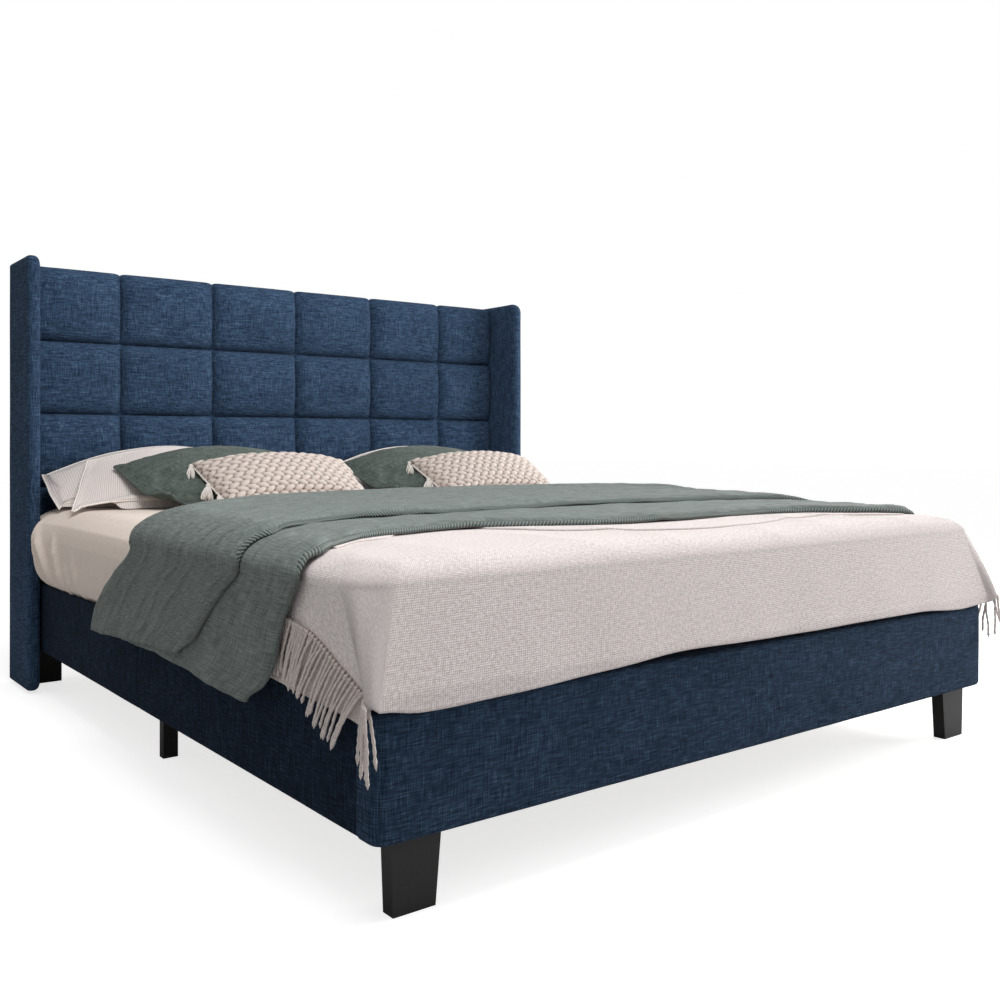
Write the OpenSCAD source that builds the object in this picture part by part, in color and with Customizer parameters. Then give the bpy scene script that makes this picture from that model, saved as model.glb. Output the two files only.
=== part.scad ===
// Upholstered king bed with a tufted wing headboard, made up with its bedding.
// Origin: on the floor, under the middle of the whole bed. +Y points to the headboard, +Z up.
// Left and right are as seen from the foot of the bed: left is -X.

/* [Mattress] */
// Width of the mattress where it lies in the frame
mattress_w = 1924; // [1200:1:2000]
// Length of the mattress
mattress_l = 2025; // [1880:1:2200]
// Thickness of the mattress
mattress_h = 300; // [220:5:360]
// Gap from the mattress to the frame, each side
mattress_gap = 7; // [3:1:20]
// Gap from the mattress to the footboard and to the headboard pad
mattress_end_gap = 4.25; // [3:0.25:20]
// How far the sides of the mattress swell out above the rails
mattress_swell = 39; // [10:1:60]

/* [Rails and footboard] */
// Height of the rails' underside above the floor
rail_bottom = 133; // [110:1:220]
// Height of the rails, with their covers
rail_h = 217; // [190:1:300]
// Thickness of a rail's board
rail_board_t = 15; // [12:1:25]
// Thickness of the padding and fabric on a rail
rail_cover_t = 3; // [2:0.5:6]
// Height of the footboard's top above the floor
foot_top = 360; // [330:1:420]
// How much lower than the rails the footboard reaches
foot_drop = 0.5; // [0:0.5:20]
// How far the footboard stands out past each rail
foot_reach = 10; // [2:1:40]
// Thickness of the footboard's core
foot_core_t = 50; // [40:1:60]
// Thickness of the footboard's front padding
foot_pad_t = 12; // [8:1:25]
// Radius of the footboard's soft edges
foot_edge_r = 14; // [6:1:20]

/* [Headboard] */
// Height of the headboard pad's top above the floor
head_top = 1391; // [1100:1:1500]
// Lower edge of the tufted pad above the floor
pad_bottom = 411; // [380:1:450]
// Thickness of the pad at the crown of a square
pad_t = 47.5; // [30:0.5:70]
// Depth of the seams between the squares
seam_depth = 24; // [10:1:28]
// Number of tufted squares across
pad_columns = 6; // [4:1:8]
// Number of tufted squares from top to bottom
pad_rows = 4; // [3:1:5]
// Width of an outer column
edge_column_w = 300; // [200:1:360]
// Thickness of the headboard's board
head_board_t = 15; // [14:1:20]
// Depth of the timber frame behind the board
head_frame_t = 45; // [30:1:50]
// Width of the frame's timbers
timber_w = 60; // [40:1:80]
// Thickness of the fabric on the back
back_cover_t = 1.5; // [1:0.5:3]
// Width of a headboard leg
head_leg_w = 108; // [60:1:120]
// Depth of a headboard leg
head_leg_d = 70; // [50:1:80]

/* [Wings] */
// Thickness of a wing with its padding
wing_t = 42; // [36:1:60]
// Thickness of a wing's board
wing_board_t = 18; // [12:1:20]
// Depth of a wing from front to back
wing_d = 244.5; // [150:0.5:320]
// Height of a wing's top above the floor
wing_top = 1405; // [1150:1:1550]
// Gap from the wing's underside to the floor
wing_bottom = 6; // [3:1:40]
// How far a wing's back stands past the back cover
wing_back_reach = 1; // [0.5:0.5:10]
// Corner radius of a wing, seen from the side
wing_corner_r = 40; // [12:1:50]
// Radius of a wing's front and back edges
wing_edge_r = 16; // [6:1:18]

/* [Legs] */
// Width of a front leg at the top
front_leg_top_w = 107; // [70:1:130]
// Width of a front leg at the floor
front_leg_foot_w = 89; // [50:1:110]
// Depth of a front leg
front_leg_d = 31; // [25:1:40]
// Distance from the footboard's front face to a front leg
front_leg_inset = 31; // [20:1:34]
// Distance from the footboard's end to a front leg
front_leg_side_inset = 50; // [20:1:200]
// Width of a side leg
side_leg_w = 39; // [30:1:60]
// Depth of a side leg
side_leg_d = 26; // [24:1:50]
// Distance from the rail's inner face to a side leg
side_leg_inset = 40; // [30:1:80]

/* [Slats and centre beam] */
// Number of slats
slat_count = 12; // [8:1:16]
// Width of a slat
slat_w = 70; // [50:1:90]
// Thickness of a slat
slat_t = 20; // [15:1:25]
// Depth from the rails' top to the slats' top
recess = 60; // [40:1:80]
// Width of a slat ledge
ledge_w = 23; // [18:1:40]
// Height of a slat ledge
ledge_h = 30; // [20:1:40]
// Width of the centre beam
beam_w = 30; // [25:1:50]
// Height of the centre beam
beam_h = 50; // [40:1:60]
// Wall of the beam and of the centre legs
tube_wall = 2; // [1.5:0.5:3]
// Side of a centre leg's square tube
centre_leg_w = 40; // [30:1:60]
// Radius of a levelling stem
stem_r = 5; // [4:0.5:6]
// Radius of a foot pad
foot_pad_r = 22; // [15:1:30]
// Height of a foot pad
foot_pad_h = 8; // [6:1:12]
// Travel of a levelling foot
level_travel = 10; // [5:1:12]

/* [Fasteners and plates] */
// Thickness of the steel plates
plate_t = 3; // [2:0.5:4]
// Side of a corner bracket
bracket_side = 60; // [50:1:70]
// Length of a joining angle along the rail
joint_l = 220; // [160:1:300]
// Radius of the bolts
bolt_r = 4; // [3:0.5:5]
// Length of the bolts under the head, past the plate
bolt_grip = 11; // [8:1:12]
// Radius of a bolt's head
bolt_head_r = 7; // [6:0.5:9]
// Height of a bolt's head
bolt_head_h = 4.5; // [3:0.5:6]
// Outer radius of a threaded insert
insert_r = 5.5; // [5.2:0.1:7]
// Length of a threaded insert
insert_l = 12; // [8:1:12]

/* [Bedding] */
// Thickness of the fitted sheet
sheet_t = 1.5; // [1:0.5:3]
// Thickness of the cream blanket
blanket_t = 2.5; // [1.5:0.5:6]
// Thickness of the cream throw
throw_t = 3; // [2:0.5:6]
// Thickness of one layer of the green blanket on the sides
cover_t = 7; // [4:0.5:12]
// Thickness of one layer of the green blanket on the top, with the air under it
cover_top_t = 17; // [6:1:24]
// Height of the cream blanket's side hems above the floor
blanket_hem = 345; // [200:1:450]
// Height of the throw's front hem above the floor
throw_hem = 351; // [200:1:450]
// Height of the throw's side hems at the foot corners
throw_corner_hem = 380; // [200:1:480]
// Height of the throw's side hems at its hidden edge
throw_side_hem = 505; // [250:1:520]
// Height of the green blanket's hems above the floor
cover_hem = 305; // [180:1:420]
// Distance from the footboard's front to the cream blanket's hidden edge
blanket_reach = 820; // [500:10:1200]
// Distance from the footboard's front to the throw's hidden edge
throw_reach = 640; // [400:10:900]
// Distance from the footboard's front to the green blanket's foot edge, in the middle
cover_near = 520; // [400:10:560]
// Distance from the footboard's front to the green blanket's head edge, in the middle
cover_far = 1366; // [1200:2:1400]
// Depth of the folds at the hems
fold_depth = 9; // [3:1:12]
// Length of a fringe strand
fringe_l = 115; // [60:1:140]
// Number of fringe strands on each side
fringe_count = 34; // [10:1:60]

/* [Pillows] */
// Width of a white pillow
white_w = 890; // [600:1:920]
// Width of a green pillow
green_w = 745; // [500:1:800]
// Width of a knitted cushion
knit_w = 600; // [400:1:640]
// Height of a white pillow at the back
white_back_h = 300; // [240:5:340]
// Height of a white pillow in front
white_front_h = 330; // [260:5:360]
// Height of a green pillow
green_h = 340; // [280:5:380]
// Height of a knitted cushion
knit_h = 300; // [220:5:340]

/* [Clearances] */
// Gap between soft pieces and what they lie on
soft_gap = 0.3; // [0.2:0.1:1]
// Radial clearance of bolts, inserts and stems
bore_gap = 0.1; // [0.05:0.01:0.2]
// Radial clearance of a stem in its leg
stem_gap = 0.05; // [0.03:0.01:0.1]

/* [Hidden] */
$fn = 32;
left = -1;
right = 1;
eps = 1;

// Widths, measured from the middle plane
wing_gap = 2.5;
inner_x = mattress_w / 2 + mattress_gap;
board_x = inner_x + rail_cover_t;
rail_x = board_x + rail_board_t + rail_cover_t;
foot_x = rail_x + foot_reach;
wing_x = rail_x + wing_gap;
head_x = wing_x - soft_gap;

// Heights
rail_top = rail_bottom + rail_h;
head_bottom = rail_bottom;
slat_top = rail_top - recess;
slat_under = slat_top - slat_t;
plate_drop = 5;
plate_z = slat_under - ledge_h - plate_drop - bracket_side;
foot_under_t = 9;
core_bottom = rail_bottom - foot_drop + foot_under_t;
core_top = foot_top - foot_pad_t;
head_board_drop = 8;
head_board_top = head_top - head_board_drop;
mattress_z = slat_top + soft_gap;
mattress_top = mattress_z + mattress_h;
sheet_top = mattress_top + soft_gap + sheet_t;
blanket_top = sheet_top + soft_gap + blanket_t;
throw_top = blanket_top + soft_gap + throw_t;

// Depths, from the foot to the head. The throw hangs in front of the footboard.
foot_t = foot_pad_t + foot_core_t + rail_cover_t;
blanket_front = soft_gap + blanket_t;
throw_front = blanket_front + soft_gap + throw_t;
head_depth = pad_t + head_board_t + head_frame_t + back_cover_t + wing_back_reach;
inside_l = mattress_l + 2 * mattress_end_gap;
total_l = throw_front + fold_depth + foot_t + inside_l + head_depth;
foot_y = -total_l / 2 + throw_front + fold_depth;
foot_in_y = foot_y + foot_t;
foot_core_y = foot_in_y - rail_cover_t;
pad_y = foot_in_y + inside_l;
board_y = pad_y + pad_t;
frame_y = board_y + head_board_t;
back_y = frame_y + head_frame_t;
wing_back = back_y + back_cover_t + wing_back_reach;
rail_l = board_y - foot_in_y;
joint_y = round(foot_in_y + 0.505 * rail_l);

// Shared small shapes

module on_side(side) {
    if (side == left) mirror([1, 0, 0]) children();
    else children();
}

module on_both_sides() {
    on_side(left) children();
    on_side(right) children();
}

module span(low, high) {
    translate(low) cube(high - low);
}

// A rectangle with round corners, from its low corner
module round_rect(w, h, r) {
    translate([r, 0]) square([w - 2 * r, h]);
    translate([0, r]) square([w, h - 2 * r]);
    for (x = [r, w - r], y = [r, h - r]) translate([x, y]) circle(r);
}

// Turns a piece made along +Z so that it points the named way
module pointing(way) {
    turn = way == "out" ? [0, 90, 0] : way == "head" ? [-90, 0, 0] :
        way == "foot" ? [90, 0, 0] : way == "down" ? [180, 0, 0] : [0, 0, 0];
    rotate(turn) children();
}

// Closed solids from rows of points

function flat(rows) = [for (row = rows) for (p = row) p];

function sheet_faces(n, m, start, turned) = [
    for (i = [0:n - 2], j = [0:m - 2])
        let (a = start + i * m + j, b = a + 1, c = a + m + 1, d = a + m)
        for (f = turned ? [[a, c, b], [a, d, c]] : [[a, b, c], [a, c, d]]) f
];

// Faces that join the same border line of two point sets
function seam_faces(line, shift) = [
    for (k = [0:len(line) - 2])
        let (a = line[k], b = line[k + 1])
        for (f = [[a, a + shift, b], [b, a + shift, b + shift]]) f
];

// A closed piece of cloth or a cushion between two grids of points
module between(outer, inner) {
    n = len(outer);
    m = len(outer[0]);
    count = n * m;
    border = concat(
        [for (j = [0:m - 1]) j],
        [for (i = [1:n - 1]) i * m + m - 1],
        [for (j = [m - 2:-1:0]) (n - 1) * m + j],
        [for (i = [n - 2:-1:0]) i * m]
    );
    polyhedron(
        points = concat(flat(outer), flat(inner)),
        faces = concat(
            sheet_faces(n, m, 0, false),
            sheet_faces(n, m, count, true),
            seam_faces(border, count)
        )
    );
}

// A closed solid through a stack of rings, with both ends capped. Below the ring number
// `crossed`, each square is cut along its other diagonal, so that a thin wall's sides match.
module ring_stack(rings, crossed = 0) {
    m = len(rings[0]);
    n = len(rings);
    polyhedron(
        points = flat(rings),
        faces = concat(
            [for (i = [0:n - 2], j = [0:m - 1])
                let (a = i * m + j, b = i * m + (j + 1) % m, c = b + m, d = a + m)
                for (f = i < crossed ? [[a, d, b], [b, d, c]] : [[a, c, b], [a, d, c]]) f],
            [for (j = [1:m - 2]) [0, j, j + 1]],
            [for (j = [1:m - 2]) [(n - 1) * m, (n - 1) * m + j + 1, (n - 1) * m + j]]
        )
    );
}

// Headboard

function column_edges() =
    let (mid = (2 * head_x - 2 * edge_column_w) / (pad_columns - 2))
    concat([-head_x], [for (k = [0:pad_columns - 2]) -head_x + edge_column_w + k * mid], [head_x]);

function row_edges() =
    [for (k = [0:pad_rows]) pad_bottom + k * (head_top - pad_bottom) / pad_rows];

// Sample places across and up one square, from seam to seam
cell_across = [-1, -0.84, -0.4, 0.4, 0.84];
cell_up = [-1, -0.8, 0, 0.8];

function cell_samples(edges, steps) = concat(
    [for (k = [0:len(edges) - 2], s = steps)
        [edges[k] + (s + 1) / 2 * (edges[k + 1] - edges[k]), s]],
    [[edges[len(edges) - 1], 1]]
);

function crown(s) = pow(1 - pow(abs(s), 4), 0.5);

module headboard_tufted_pad() {
    xs = cell_samples(column_edges(), cell_across);
    zs = cell_samples(row_edges(), cell_up);
    front = [for (z = zs) [for (x = xs)
        [x[0], pad_y + seam_depth * (1 - crown(x[1]) * crown(z[1])), z[0]]]];
    back = [for (z = zs) [for (x = xs) [x[0], board_y, z[0]]]];
    color("#2b4460") between(back, front);
}

// Holes for the threaded inserts that a list of bolt places names
module insert_holes(places) {
    for (p = places) translate(p[0]) pointing(p[1])
        translate([0, 0, -eps]) cylinder(r = insert_r + bore_gap, h = insert_l + bore_gap + eps);
}

module bolt_holes(places) {
    for (p = places) translate(p[0]) pointing(p[1])
        translate([0, 0, -plate_t - eps]) cylinder(r = bolt_r + 4 * bore_gap, h = plate_t + 2 * eps);
}

module headboard_board() {
    color("#c9a877") difference() {
        span([-head_x, board_y, head_bottom], [head_x, frame_y, head_board_top]);
        for (side = [left, right]) on_side(side) insert_holes(head_bracket_bolts);
        insert_holes(head_hanger_bolts);
    }
}

module timber(x0, x1, z0, z1) {
    span([x0, frame_y, z0], [x1, back_y, z1]);
}

// The timbers are separate pieces that meet with a hairline gap
timber_gap = 0.1;
mid_timber_z = (head_bottom + head_board_top - timber_w) / 2;
timber_levels = [head_bottom, mid_timber_z, head_board_top - timber_w];

module headboard_frame() {
    color("#d8bd8f") {
        on_both_sides() difference() {
            timber(head_x - timber_w, head_x, head_bottom, head_board_top);
            for (z = wing_bolt_levels) translate([0, wing_bolt_y, z]) pointing("out")
                cylinder(r = bolt_r + bore_gap, h = wing_x + eps);
            translate([head_leg_x, head_leg_y, head_bottom - eps])
                cylinder(r = bolt_r + bore_gap, h = stud_l / 2 + eps);
        }
        timber(-timber_w / 2, timber_w / 2, head_bottom, head_board_top);
        for (z = timber_levels) on_both_sides()
            timber(timber_w / 2 + timber_gap, head_x - timber_w - timber_gap, z, z + timber_w);
    }
}

module headboard_back_cover() {
    color("#23262b")
        span([-head_x, back_y, head_bottom], [head_x, back_y + back_cover_t, head_board_top]);
}

// Headboard legs: blocks under the headboard's frame
head_leg_reach = 28;
stud_behind = 12;
head_leg_front = board_y - head_leg_reach;
head_leg_x = head_x - timber_w / 2;
head_leg_y = frame_y + stud_behind;
stud_l = 60;

module headboard_leg(side) {
    color("#1b1b1c") on_side(side) difference() {
        span([head_x - head_leg_w, head_leg_front, 0], [head_x, head_leg_front + head_leg_d, head_bottom]);
        translate([head_leg_x, head_leg_y, head_bottom - stud_l / 2])
            cylinder(r = bolt_r + bore_gap, h = stud_l / 2 + eps);
    }
}

// Wings

wing_front = wing_back - wing_d;
wing_pad = (wing_t - wing_board_t) / 2;
wing_bolt_y = frame_y + head_frame_t / 2;
wing_bolt_levels = [for (share = [0.22, 0.62, 0.85])
    round(head_bottom + share * (head_board_top - head_bottom))];
wing_bolt_l = timber_w + wing_pad + soft_gap + insert_l;

module wing_outline() {
    translate([wing_front, wing_bottom]) round_rect(wing_d, wing_top - wing_bottom, wing_corner_r);
}

module wing_block() {
    intersection() {
        translate([wing_x, 0, 0]) rotate([90, 0, 90]) linear_extrude(wing_t) wing_outline();
        translate([wing_x, wing_front, 0]) linear_extrude(wing_top + eps)
            round_rect(wing_t, wing_d, wing_edge_r);
    }
}

// The board's front corners are sawn off inside the round corners of the cover
wing_saw = wing_corner_r + 2;
wing_saw_top = max(5, wing_saw - wing_pad);
module wing_board_space(slack) {
    front = wing_front + wing_pad;
    top = wing_top - wing_pad;
    translate([wing_x + wing_pad - slack, 0, 0]) rotate([90, 0, 90])
        linear_extrude(wing_board_t + 2 * slack) polygon([
            [front + wing_saw, wing_bottom], [wing_back - wing_pad, wing_bottom],
            [wing_back - wing_pad, top], [front + wing_saw_top, top],
            [front, top - wing_saw_top], [front, wing_bottom + wing_saw]
        ]);
}

module wing_board(side) {
    color("#c9a877") on_side(side) difference() {
        wing_board_space(0);
        for (z = wing_bolt_levels) translate([wing_x + wing_pad - eps, wing_bolt_y, z]) pointing("out")
            cylinder(r = insert_r + bore_gap, h = insert_l + bore_gap + eps);
    }
}

module wing_cover(side) {
    color("#2b4460") on_side(side) difference() {
        wing_block();
        wing_board_space(0);
        for (z = wing_bolt_levels) translate([wing_x - eps, wing_bolt_y, z]) pointing("out")
            cylinder(r = bolt_r + bore_gap, h = wing_pad + 2 * eps);
    }
}

// Places of the bolts: where the threaded insert's mouth lies, and which way the bolt points

bracket_mid_z = plate_z + bracket_side / 2;
bracket_hole = 18;
bracket_levels = [bracket_mid_z - bracket_hole, bracket_mid_z + bracket_hole];
bracket_reach = 40;
foot_bracket_bolts = [for (z = bracket_levels) [[board_x - bracket_reach, foot_core_y, z], "foot"]];
head_bracket_bolts = [for (z = bracket_levels) [[board_x - bracket_reach, board_y, z], "head"]];
rail_front_bolts = concat(
    [for (z = bracket_levels) [[board_x, foot_core_y + bracket_reach, z], "out"]],
    [for (z = bracket_levels) [[board_x, joint_y - joint_l / 3, z], "out"]]
);
rail_rear_bolts = concat(
    [for (z = bracket_levels) [[board_x, board_y - bracket_reach, z], "out"]],
    [for (z = bracket_levels) [[board_x, joint_y + joint_l / 3, z], "out"]]
);
side_leg_x = inner_x - side_leg_inset - side_leg_w / 2;
side_leg_y = joint_y - 8;
side_leg_bolts = [[[side_leg_x, side_leg_y, plate_z], "down"]];
hanger_reach = beam_w / 2 + 18;
hanger_z = slat_under - beam_h / 2;
foot_hanger_bolts = [for (x = [-hanger_reach, hanger_reach]) [[x, foot_core_y, hanger_z], "foot"]];
head_hanger_bolts = [for (x = [-hanger_reach, hanger_reach]) [[x, board_y, hanger_z], "head"]];
side_bolts = concat(
    foot_bracket_bolts, head_bracket_bolts, rail_front_bolts, rail_rear_bolts, side_leg_bolts);
middle_bolts = concat(foot_hanger_bolts, head_hanger_bolts);

// Side rails: a board in each section, with padding and fabric wrapped round it

window_edge = 40;

module rail_section(y0, y1, side) {
    on_side(side) translate([0, y1, 0]) rotate([90, 0, 0]) linear_extrude(y1 - y0) children();
}

module rail_cover_shape() {
    difference() {
        translate([inner_x, rail_bottom]) round_rect(rail_x - inner_x, rail_h, 2 * rail_cover_t);
        translate([board_x, rail_bottom + rail_cover_t]) square([rail_board_t, rail_h - 2 * rail_cover_t]);
        translate([inner_x - eps, rail_bottom + window_edge])
            square([rail_cover_t + 2 * eps, rail_h - 2 * window_edge]);
    }
}

module rail_cover(side, y0, y1) {
    color("#22364d") rail_section(y0, y1, side) rail_cover_shape();
}

module rail_board(side, y0, y1, bolts) {
    color("#c9a877") difference() {
        rail_section(y0, y1, side) translate([board_x, rail_bottom + rail_cover_t])
            square([rail_board_t, rail_h - 2 * rail_cover_t]);
        on_side(side) insert_holes(bolts);
    }
}

// Ledges stop short of the ends and of the middle joint
module slat_ledges() {
    ledge_gap = 8;
    color("#d8bd8f") on_both_sides() for (run = [[foot_in_y, joint_y], [joint_y, board_y]])
        span([board_x - ledge_w, run[0] + ledge_gap, slat_under - ledge_h],
            [board_x, run[1] - ledge_gap, slat_under]);
}

// Footboard

module footboard_block() {
    low = rail_bottom - foot_drop;
    depth = foot_t;
    height = foot_top - low;
    intersection() {
        translate([-foot_x, 0, 0]) rotate([90, 0, 90]) linear_extrude(2 * foot_x)
            translate([foot_y, low]) round_rect(depth, height, foot_edge_r);
        translate([0, foot_in_y + eps, 0]) rotate([90, 0, 0]) linear_extrude(depth + 2 * eps)
            translate([-foot_x, low]) round_rect(2 * foot_x, height, 2 * foot_edge_r);
    }
}

core_x = foot_x - foot_pad_t;

module footboard_core() {
    color("#d8bd8f") difference() {
        span([-core_x, foot_y + foot_pad_t, core_bottom], [core_x, foot_core_y, core_top]);
        on_both_sides() {
            insert_holes(foot_bracket_bolts);
            translate([front_leg_x, front_leg_y, core_bottom - eps])
                cylinder(r = bolt_r + bore_gap, h = stud_l / 2 + eps);
        }
        insert_holes(foot_hanger_bolts);
    }
}

module footboard_cover() {
    color("#27405c") difference() {
        footboard_block();
        span([-core_x, foot_y + foot_pad_t, core_bottom], [core_x, foot_core_y, core_top]);
        span([-board_x - 2, foot_core_y - eps, rail_bottom + window_edge],
            [board_x + 2, foot_in_y + eps, rail_top - window_edge]);
        on_both_sides() translate([front_leg_x, front_leg_y, 0])
            cylinder(r = bolt_r + bore_gap, h = core_bottom + eps);
    }
}

// Front legs: tapered blocks, screwed up into the footboard's core by a stud
front_leg_top = rail_bottom - foot_drop;
front_leg_out = foot_x - front_leg_side_inset;
front_leg_x = front_leg_out - front_leg_top_w / 2;
front_leg_y = foot_y + front_leg_inset + front_leg_d / 2;

module front_leg(side) {
    taper = front_leg_top_w - front_leg_foot_w;
    color("#1b1b1c") on_side(side) difference() {
        translate([front_leg_out, front_leg_y + front_leg_d / 2, 0]) rotate([90, 0, 0])
            linear_extrude(front_leg_d) polygon([
                [0, front_leg_top], [-front_leg_top_w, front_leg_top],
                [-front_leg_top_w + 0.7 * taper, 0], [-0.3 * taper, 0]
            ]);
        translate([front_leg_x, front_leg_y, front_leg_top - stud_l / 2])
            cylinder(r = bolt_r + bore_gap, h = stud_l / 2 + eps);
    }
}

module side_leg(side) {
    color("#1b1b1c") on_side(side) difference() {
        translate([side_leg_x - side_leg_w / 2, side_leg_y - side_leg_d / 2, 0])
            cube([side_leg_w, side_leg_d, plate_z]);
        insert_holes(side_leg_bolts);
    }
}

// Brackets and angles

// An angle bracket in the corner of the frame at (board_x, 0), the second arm along -X
module corner_bracket(bolts) {
    difference() {
        translate([0, 0, plate_z]) linear_extrude(bracket_side) polygon([
            [board_x, 0], [board_x, bracket_side], [board_x - plate_t, bracket_side],
            [board_x - plate_t, plate_t], [board_x - bracket_side, plate_t], [board_x - bracket_side, 0]
        ]);
        bolt_holes(bolts);
    }
}

module corner_brackets() {
    foot_bolts = [for (z = bracket_levels)
        each [[[board_x - bracket_reach, 0, z], "foot"], [[board_x, bracket_reach, z], "out"]]];
    color("#9a9da1") on_both_sides() {
        translate([0, foot_core_y, 0]) corner_bracket(foot_bolts);
        translate([0, board_y, 0]) mirror([0, 1, 0]) corner_bracket(foot_bolts);
    }
}

// A joining angle holds both sections of a rail, and its shelf rests on the side leg
module joining_angles() {
    shelf_reach = side_leg_inset + side_leg_w + rail_cover_t + 4;
    shelf_l = 60;
    plate_bolts = concat(
        [for (z = bracket_levels, s = [-1, 1]) [[board_x, joint_y + s * joint_l / 3, z], "out"]],
        [[[side_leg_x, side_leg_y, plate_z], "down"]]
    );
    color("#9a9da1") on_both_sides() difference() {
        union() {
            span([board_x - plate_t, joint_y - joint_l / 2, plate_z],
                [board_x, joint_y + joint_l / 2, plate_z + bracket_side]);
            span([board_x - shelf_reach, side_leg_y - shelf_l / 2, plate_z],
                [board_x, side_leg_y + shelf_l / 2, plate_z + plate_t]);
        }
        bolt_holes(plate_bolts);
    }
}

module bolt(length) {
    translate([0, 0, -plate_t - bolt_head_h]) cylinder(r = bolt_head_r, h = bolt_head_h);
    translate([0, 0, -plate_t - eps]) cylinder(r = bolt_r, h = plate_t + length + eps);
}

module insert() {
    difference() {
        cylinder(r = insert_r, h = insert_l);
        translate([0, 0, -eps]) cylinder(r = bolt_r + bore_gap, h = insert_l + 2 * eps);
    }
}

module frame_bolts() {
    color("#6c7075") {
        on_both_sides() {
            for (p = side_bolts) translate(p[0]) pointing(p[1]) bolt(bolt_grip);
            for (z = wing_bolt_levels) translate([head_x - timber_w + plate_t, wing_bolt_y, z])
                pointing("out") bolt(wing_bolt_l - plate_t - 2);
            translate([front_leg_x, front_leg_y, front_leg_top - stud_l / 2 + 1])
                cylinder(r = bolt_r, h = stud_l);
            translate([head_leg_x, head_leg_y, head_bottom - stud_l / 2 + 1])
                cylinder(r = bolt_r, h = stud_l - 2);
        }
        for (p = middle_bolts) translate(p[0]) pointing(p[1]) bolt(bolt_grip);
    }
}

module threaded_inserts() {
    color("#b08d4a") {
        on_both_sides() {
            for (p = side_bolts) translate(p[0]) pointing(p[1]) insert();
            for (z = wing_bolt_levels)
                translate([wing_x + wing_pad, wing_bolt_y, z]) pointing("out") insert();
        }
        for (p = middle_bolts) translate(p[0]) pointing(p[1]) insert();
    }
}

// Centre beam: two tubes on an inner sleeve, in a hanger at each end

beam_end_gap = 6;
sleeve_l = 300;
sleeve_w = beam_w - 2 * tube_wall - 0.6;
sleeve_h = beam_h - 2 * tube_wall - 0.6;

module square_tube(w, h, wall, y0, y1) {
    translate([0, y1, slat_under - beam_h / 2]) rotate([90, 0, 0]) linear_extrude(y1 - y0) difference() {
        square([w, h], center = true);
        square([w - 2 * wall, h - 2 * wall], center = true);
    }
}

module centre_beam(y0, y1) {
    color("#2a2b2d") square_tube(beam_w, beam_h, tube_wall, y0, y1);
}

module centre_beam_sleeve() {
    color("#3b3c3e")
        square_tube(sleeve_w, sleeve_h, tube_wall, joint_y - sleeve_l / 2, joint_y + sleeve_l / 2);
}

// A hanger at y = 0: a plate, a shelf under the beam and a cheek on each side of it
module beam_hanger() {
    plate_half = hanger_reach + 12;
    shelf_l = 45;
    cheek = beam_w / 2 + soft_gap;
    low = slat_under - beam_h - plate_t;
    bolts = [for (x = [-hanger_reach, hanger_reach]) [[x, 0, hanger_z], "foot"]];
    difference() {
        union() {
            span([-plate_half, 0, low], [plate_half, plate_t, slat_under - 8]);
            span([-cheek - plate_t, 0, low], [cheek + plate_t, shelf_l, low + plate_t]);
            for (s = [-1, 1]) span([min(s * cheek, s * (cheek + plate_t)), 0, low],
                [max(s * cheek, s * (cheek + plate_t)), shelf_l, low + beam_h / 2]);
        }
        bolt_holes(bolts);
    }
}

module beam_hangers() {
    color("#9a9da1") {
        translate([0, foot_core_y, 0]) beam_hanger();
        translate([0, board_y, 0]) mirror([0, 1, 0]) beam_hanger();
    }
}

// Centre legs and their levelling feet

leg_ys = [for (share = [0.26, 0.5, 0.74]) round(foot_in_y + share * rail_l)];
beam_under = slat_under - beam_h;
leg_low = foot_pad_h + 5 + level_travel + 2;
leg_floor_t = 12;
leg_top_plate = [80, 60];
collar_r = 8;
collar_h = 5;
stem_seat = 5;
stem_top = leg_low + leg_floor_t + 30;

module centre_leg(y) {
    inner = centre_leg_w - 2 * tube_wall;
    color("#1f2022") translate([0, y, 0]) difference() {
        union() {
            translate([-centre_leg_w / 2, -centre_leg_w / 2, leg_low])
                cube([centre_leg_w, centre_leg_w, beam_under - leg_low]);
            translate([-leg_top_plate[0] / 2, -leg_top_plate[1] / 2, beam_under - plate_t])
                cube([leg_top_plate[0], leg_top_plate[1], plate_t]);
        }
        translate([-inner / 2, -inner / 2, leg_low + leg_floor_t])
            cube([inner, inner, beam_under - leg_low - leg_floor_t - plate_t]);
        translate([0, 0, leg_low - eps]) cylinder(r = stem_r, h = leg_floor_t + 2 * eps);
    }
}

module level_stem(y) {
    color("#8d9094") translate([0, y, 0]) {
        translate([0, 0, foot_pad_h - stem_seat])
            cylinder(r = stem_r - stem_gap, h = stem_top - foot_pad_h + stem_seat);
        translate([0, 0, foot_pad_h]) cylinder(r = collar_r, h = collar_h, $fn = 6);
    }
}

module foot_pad(y) {
    color("#141414") translate([0, y, 0]) difference() {
        cylinder(r = foot_pad_r, h = foot_pad_h);
        translate([0, 0, foot_pad_h - stem_seat]) cylinder(r = stem_r, h = stem_seat + eps);
    }
}

// Slats and the straps that space them

slat_end_gap = 30;
slat_y0 = foot_in_y + slat_end_gap;
slat_step = (board_y - slat_end_gap - slat_w - slat_y0) / (slat_count - 1);
slat_side_gap = 3;
slat_half = inner_x - slat_side_gap;
strap_w = 25;
strap_t = 1;
strap_x = 480;

module slats() {
    color("#d9c39b") for (k = [0:slat_count - 1])
        span(
            [-slat_half, slat_y0 + k * slat_step, slat_under],
            [slat_half, slat_y0 + k * slat_step + slat_w, slat_top]);
}

module slat_straps() {
    color("#3a3a3a") on_both_sides()
        span(
            [strap_x, slat_y0, slat_under - strap_t],
            [strap_x + strap_w, board_y - slat_end_gap, slat_under]);
}

// Mattress and fitted sheet: rings from the underside to the top.
// Each step gives the height share, how far the sides and the foot end swell (0 to 1), and how
// far all the edges draw in.

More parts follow.
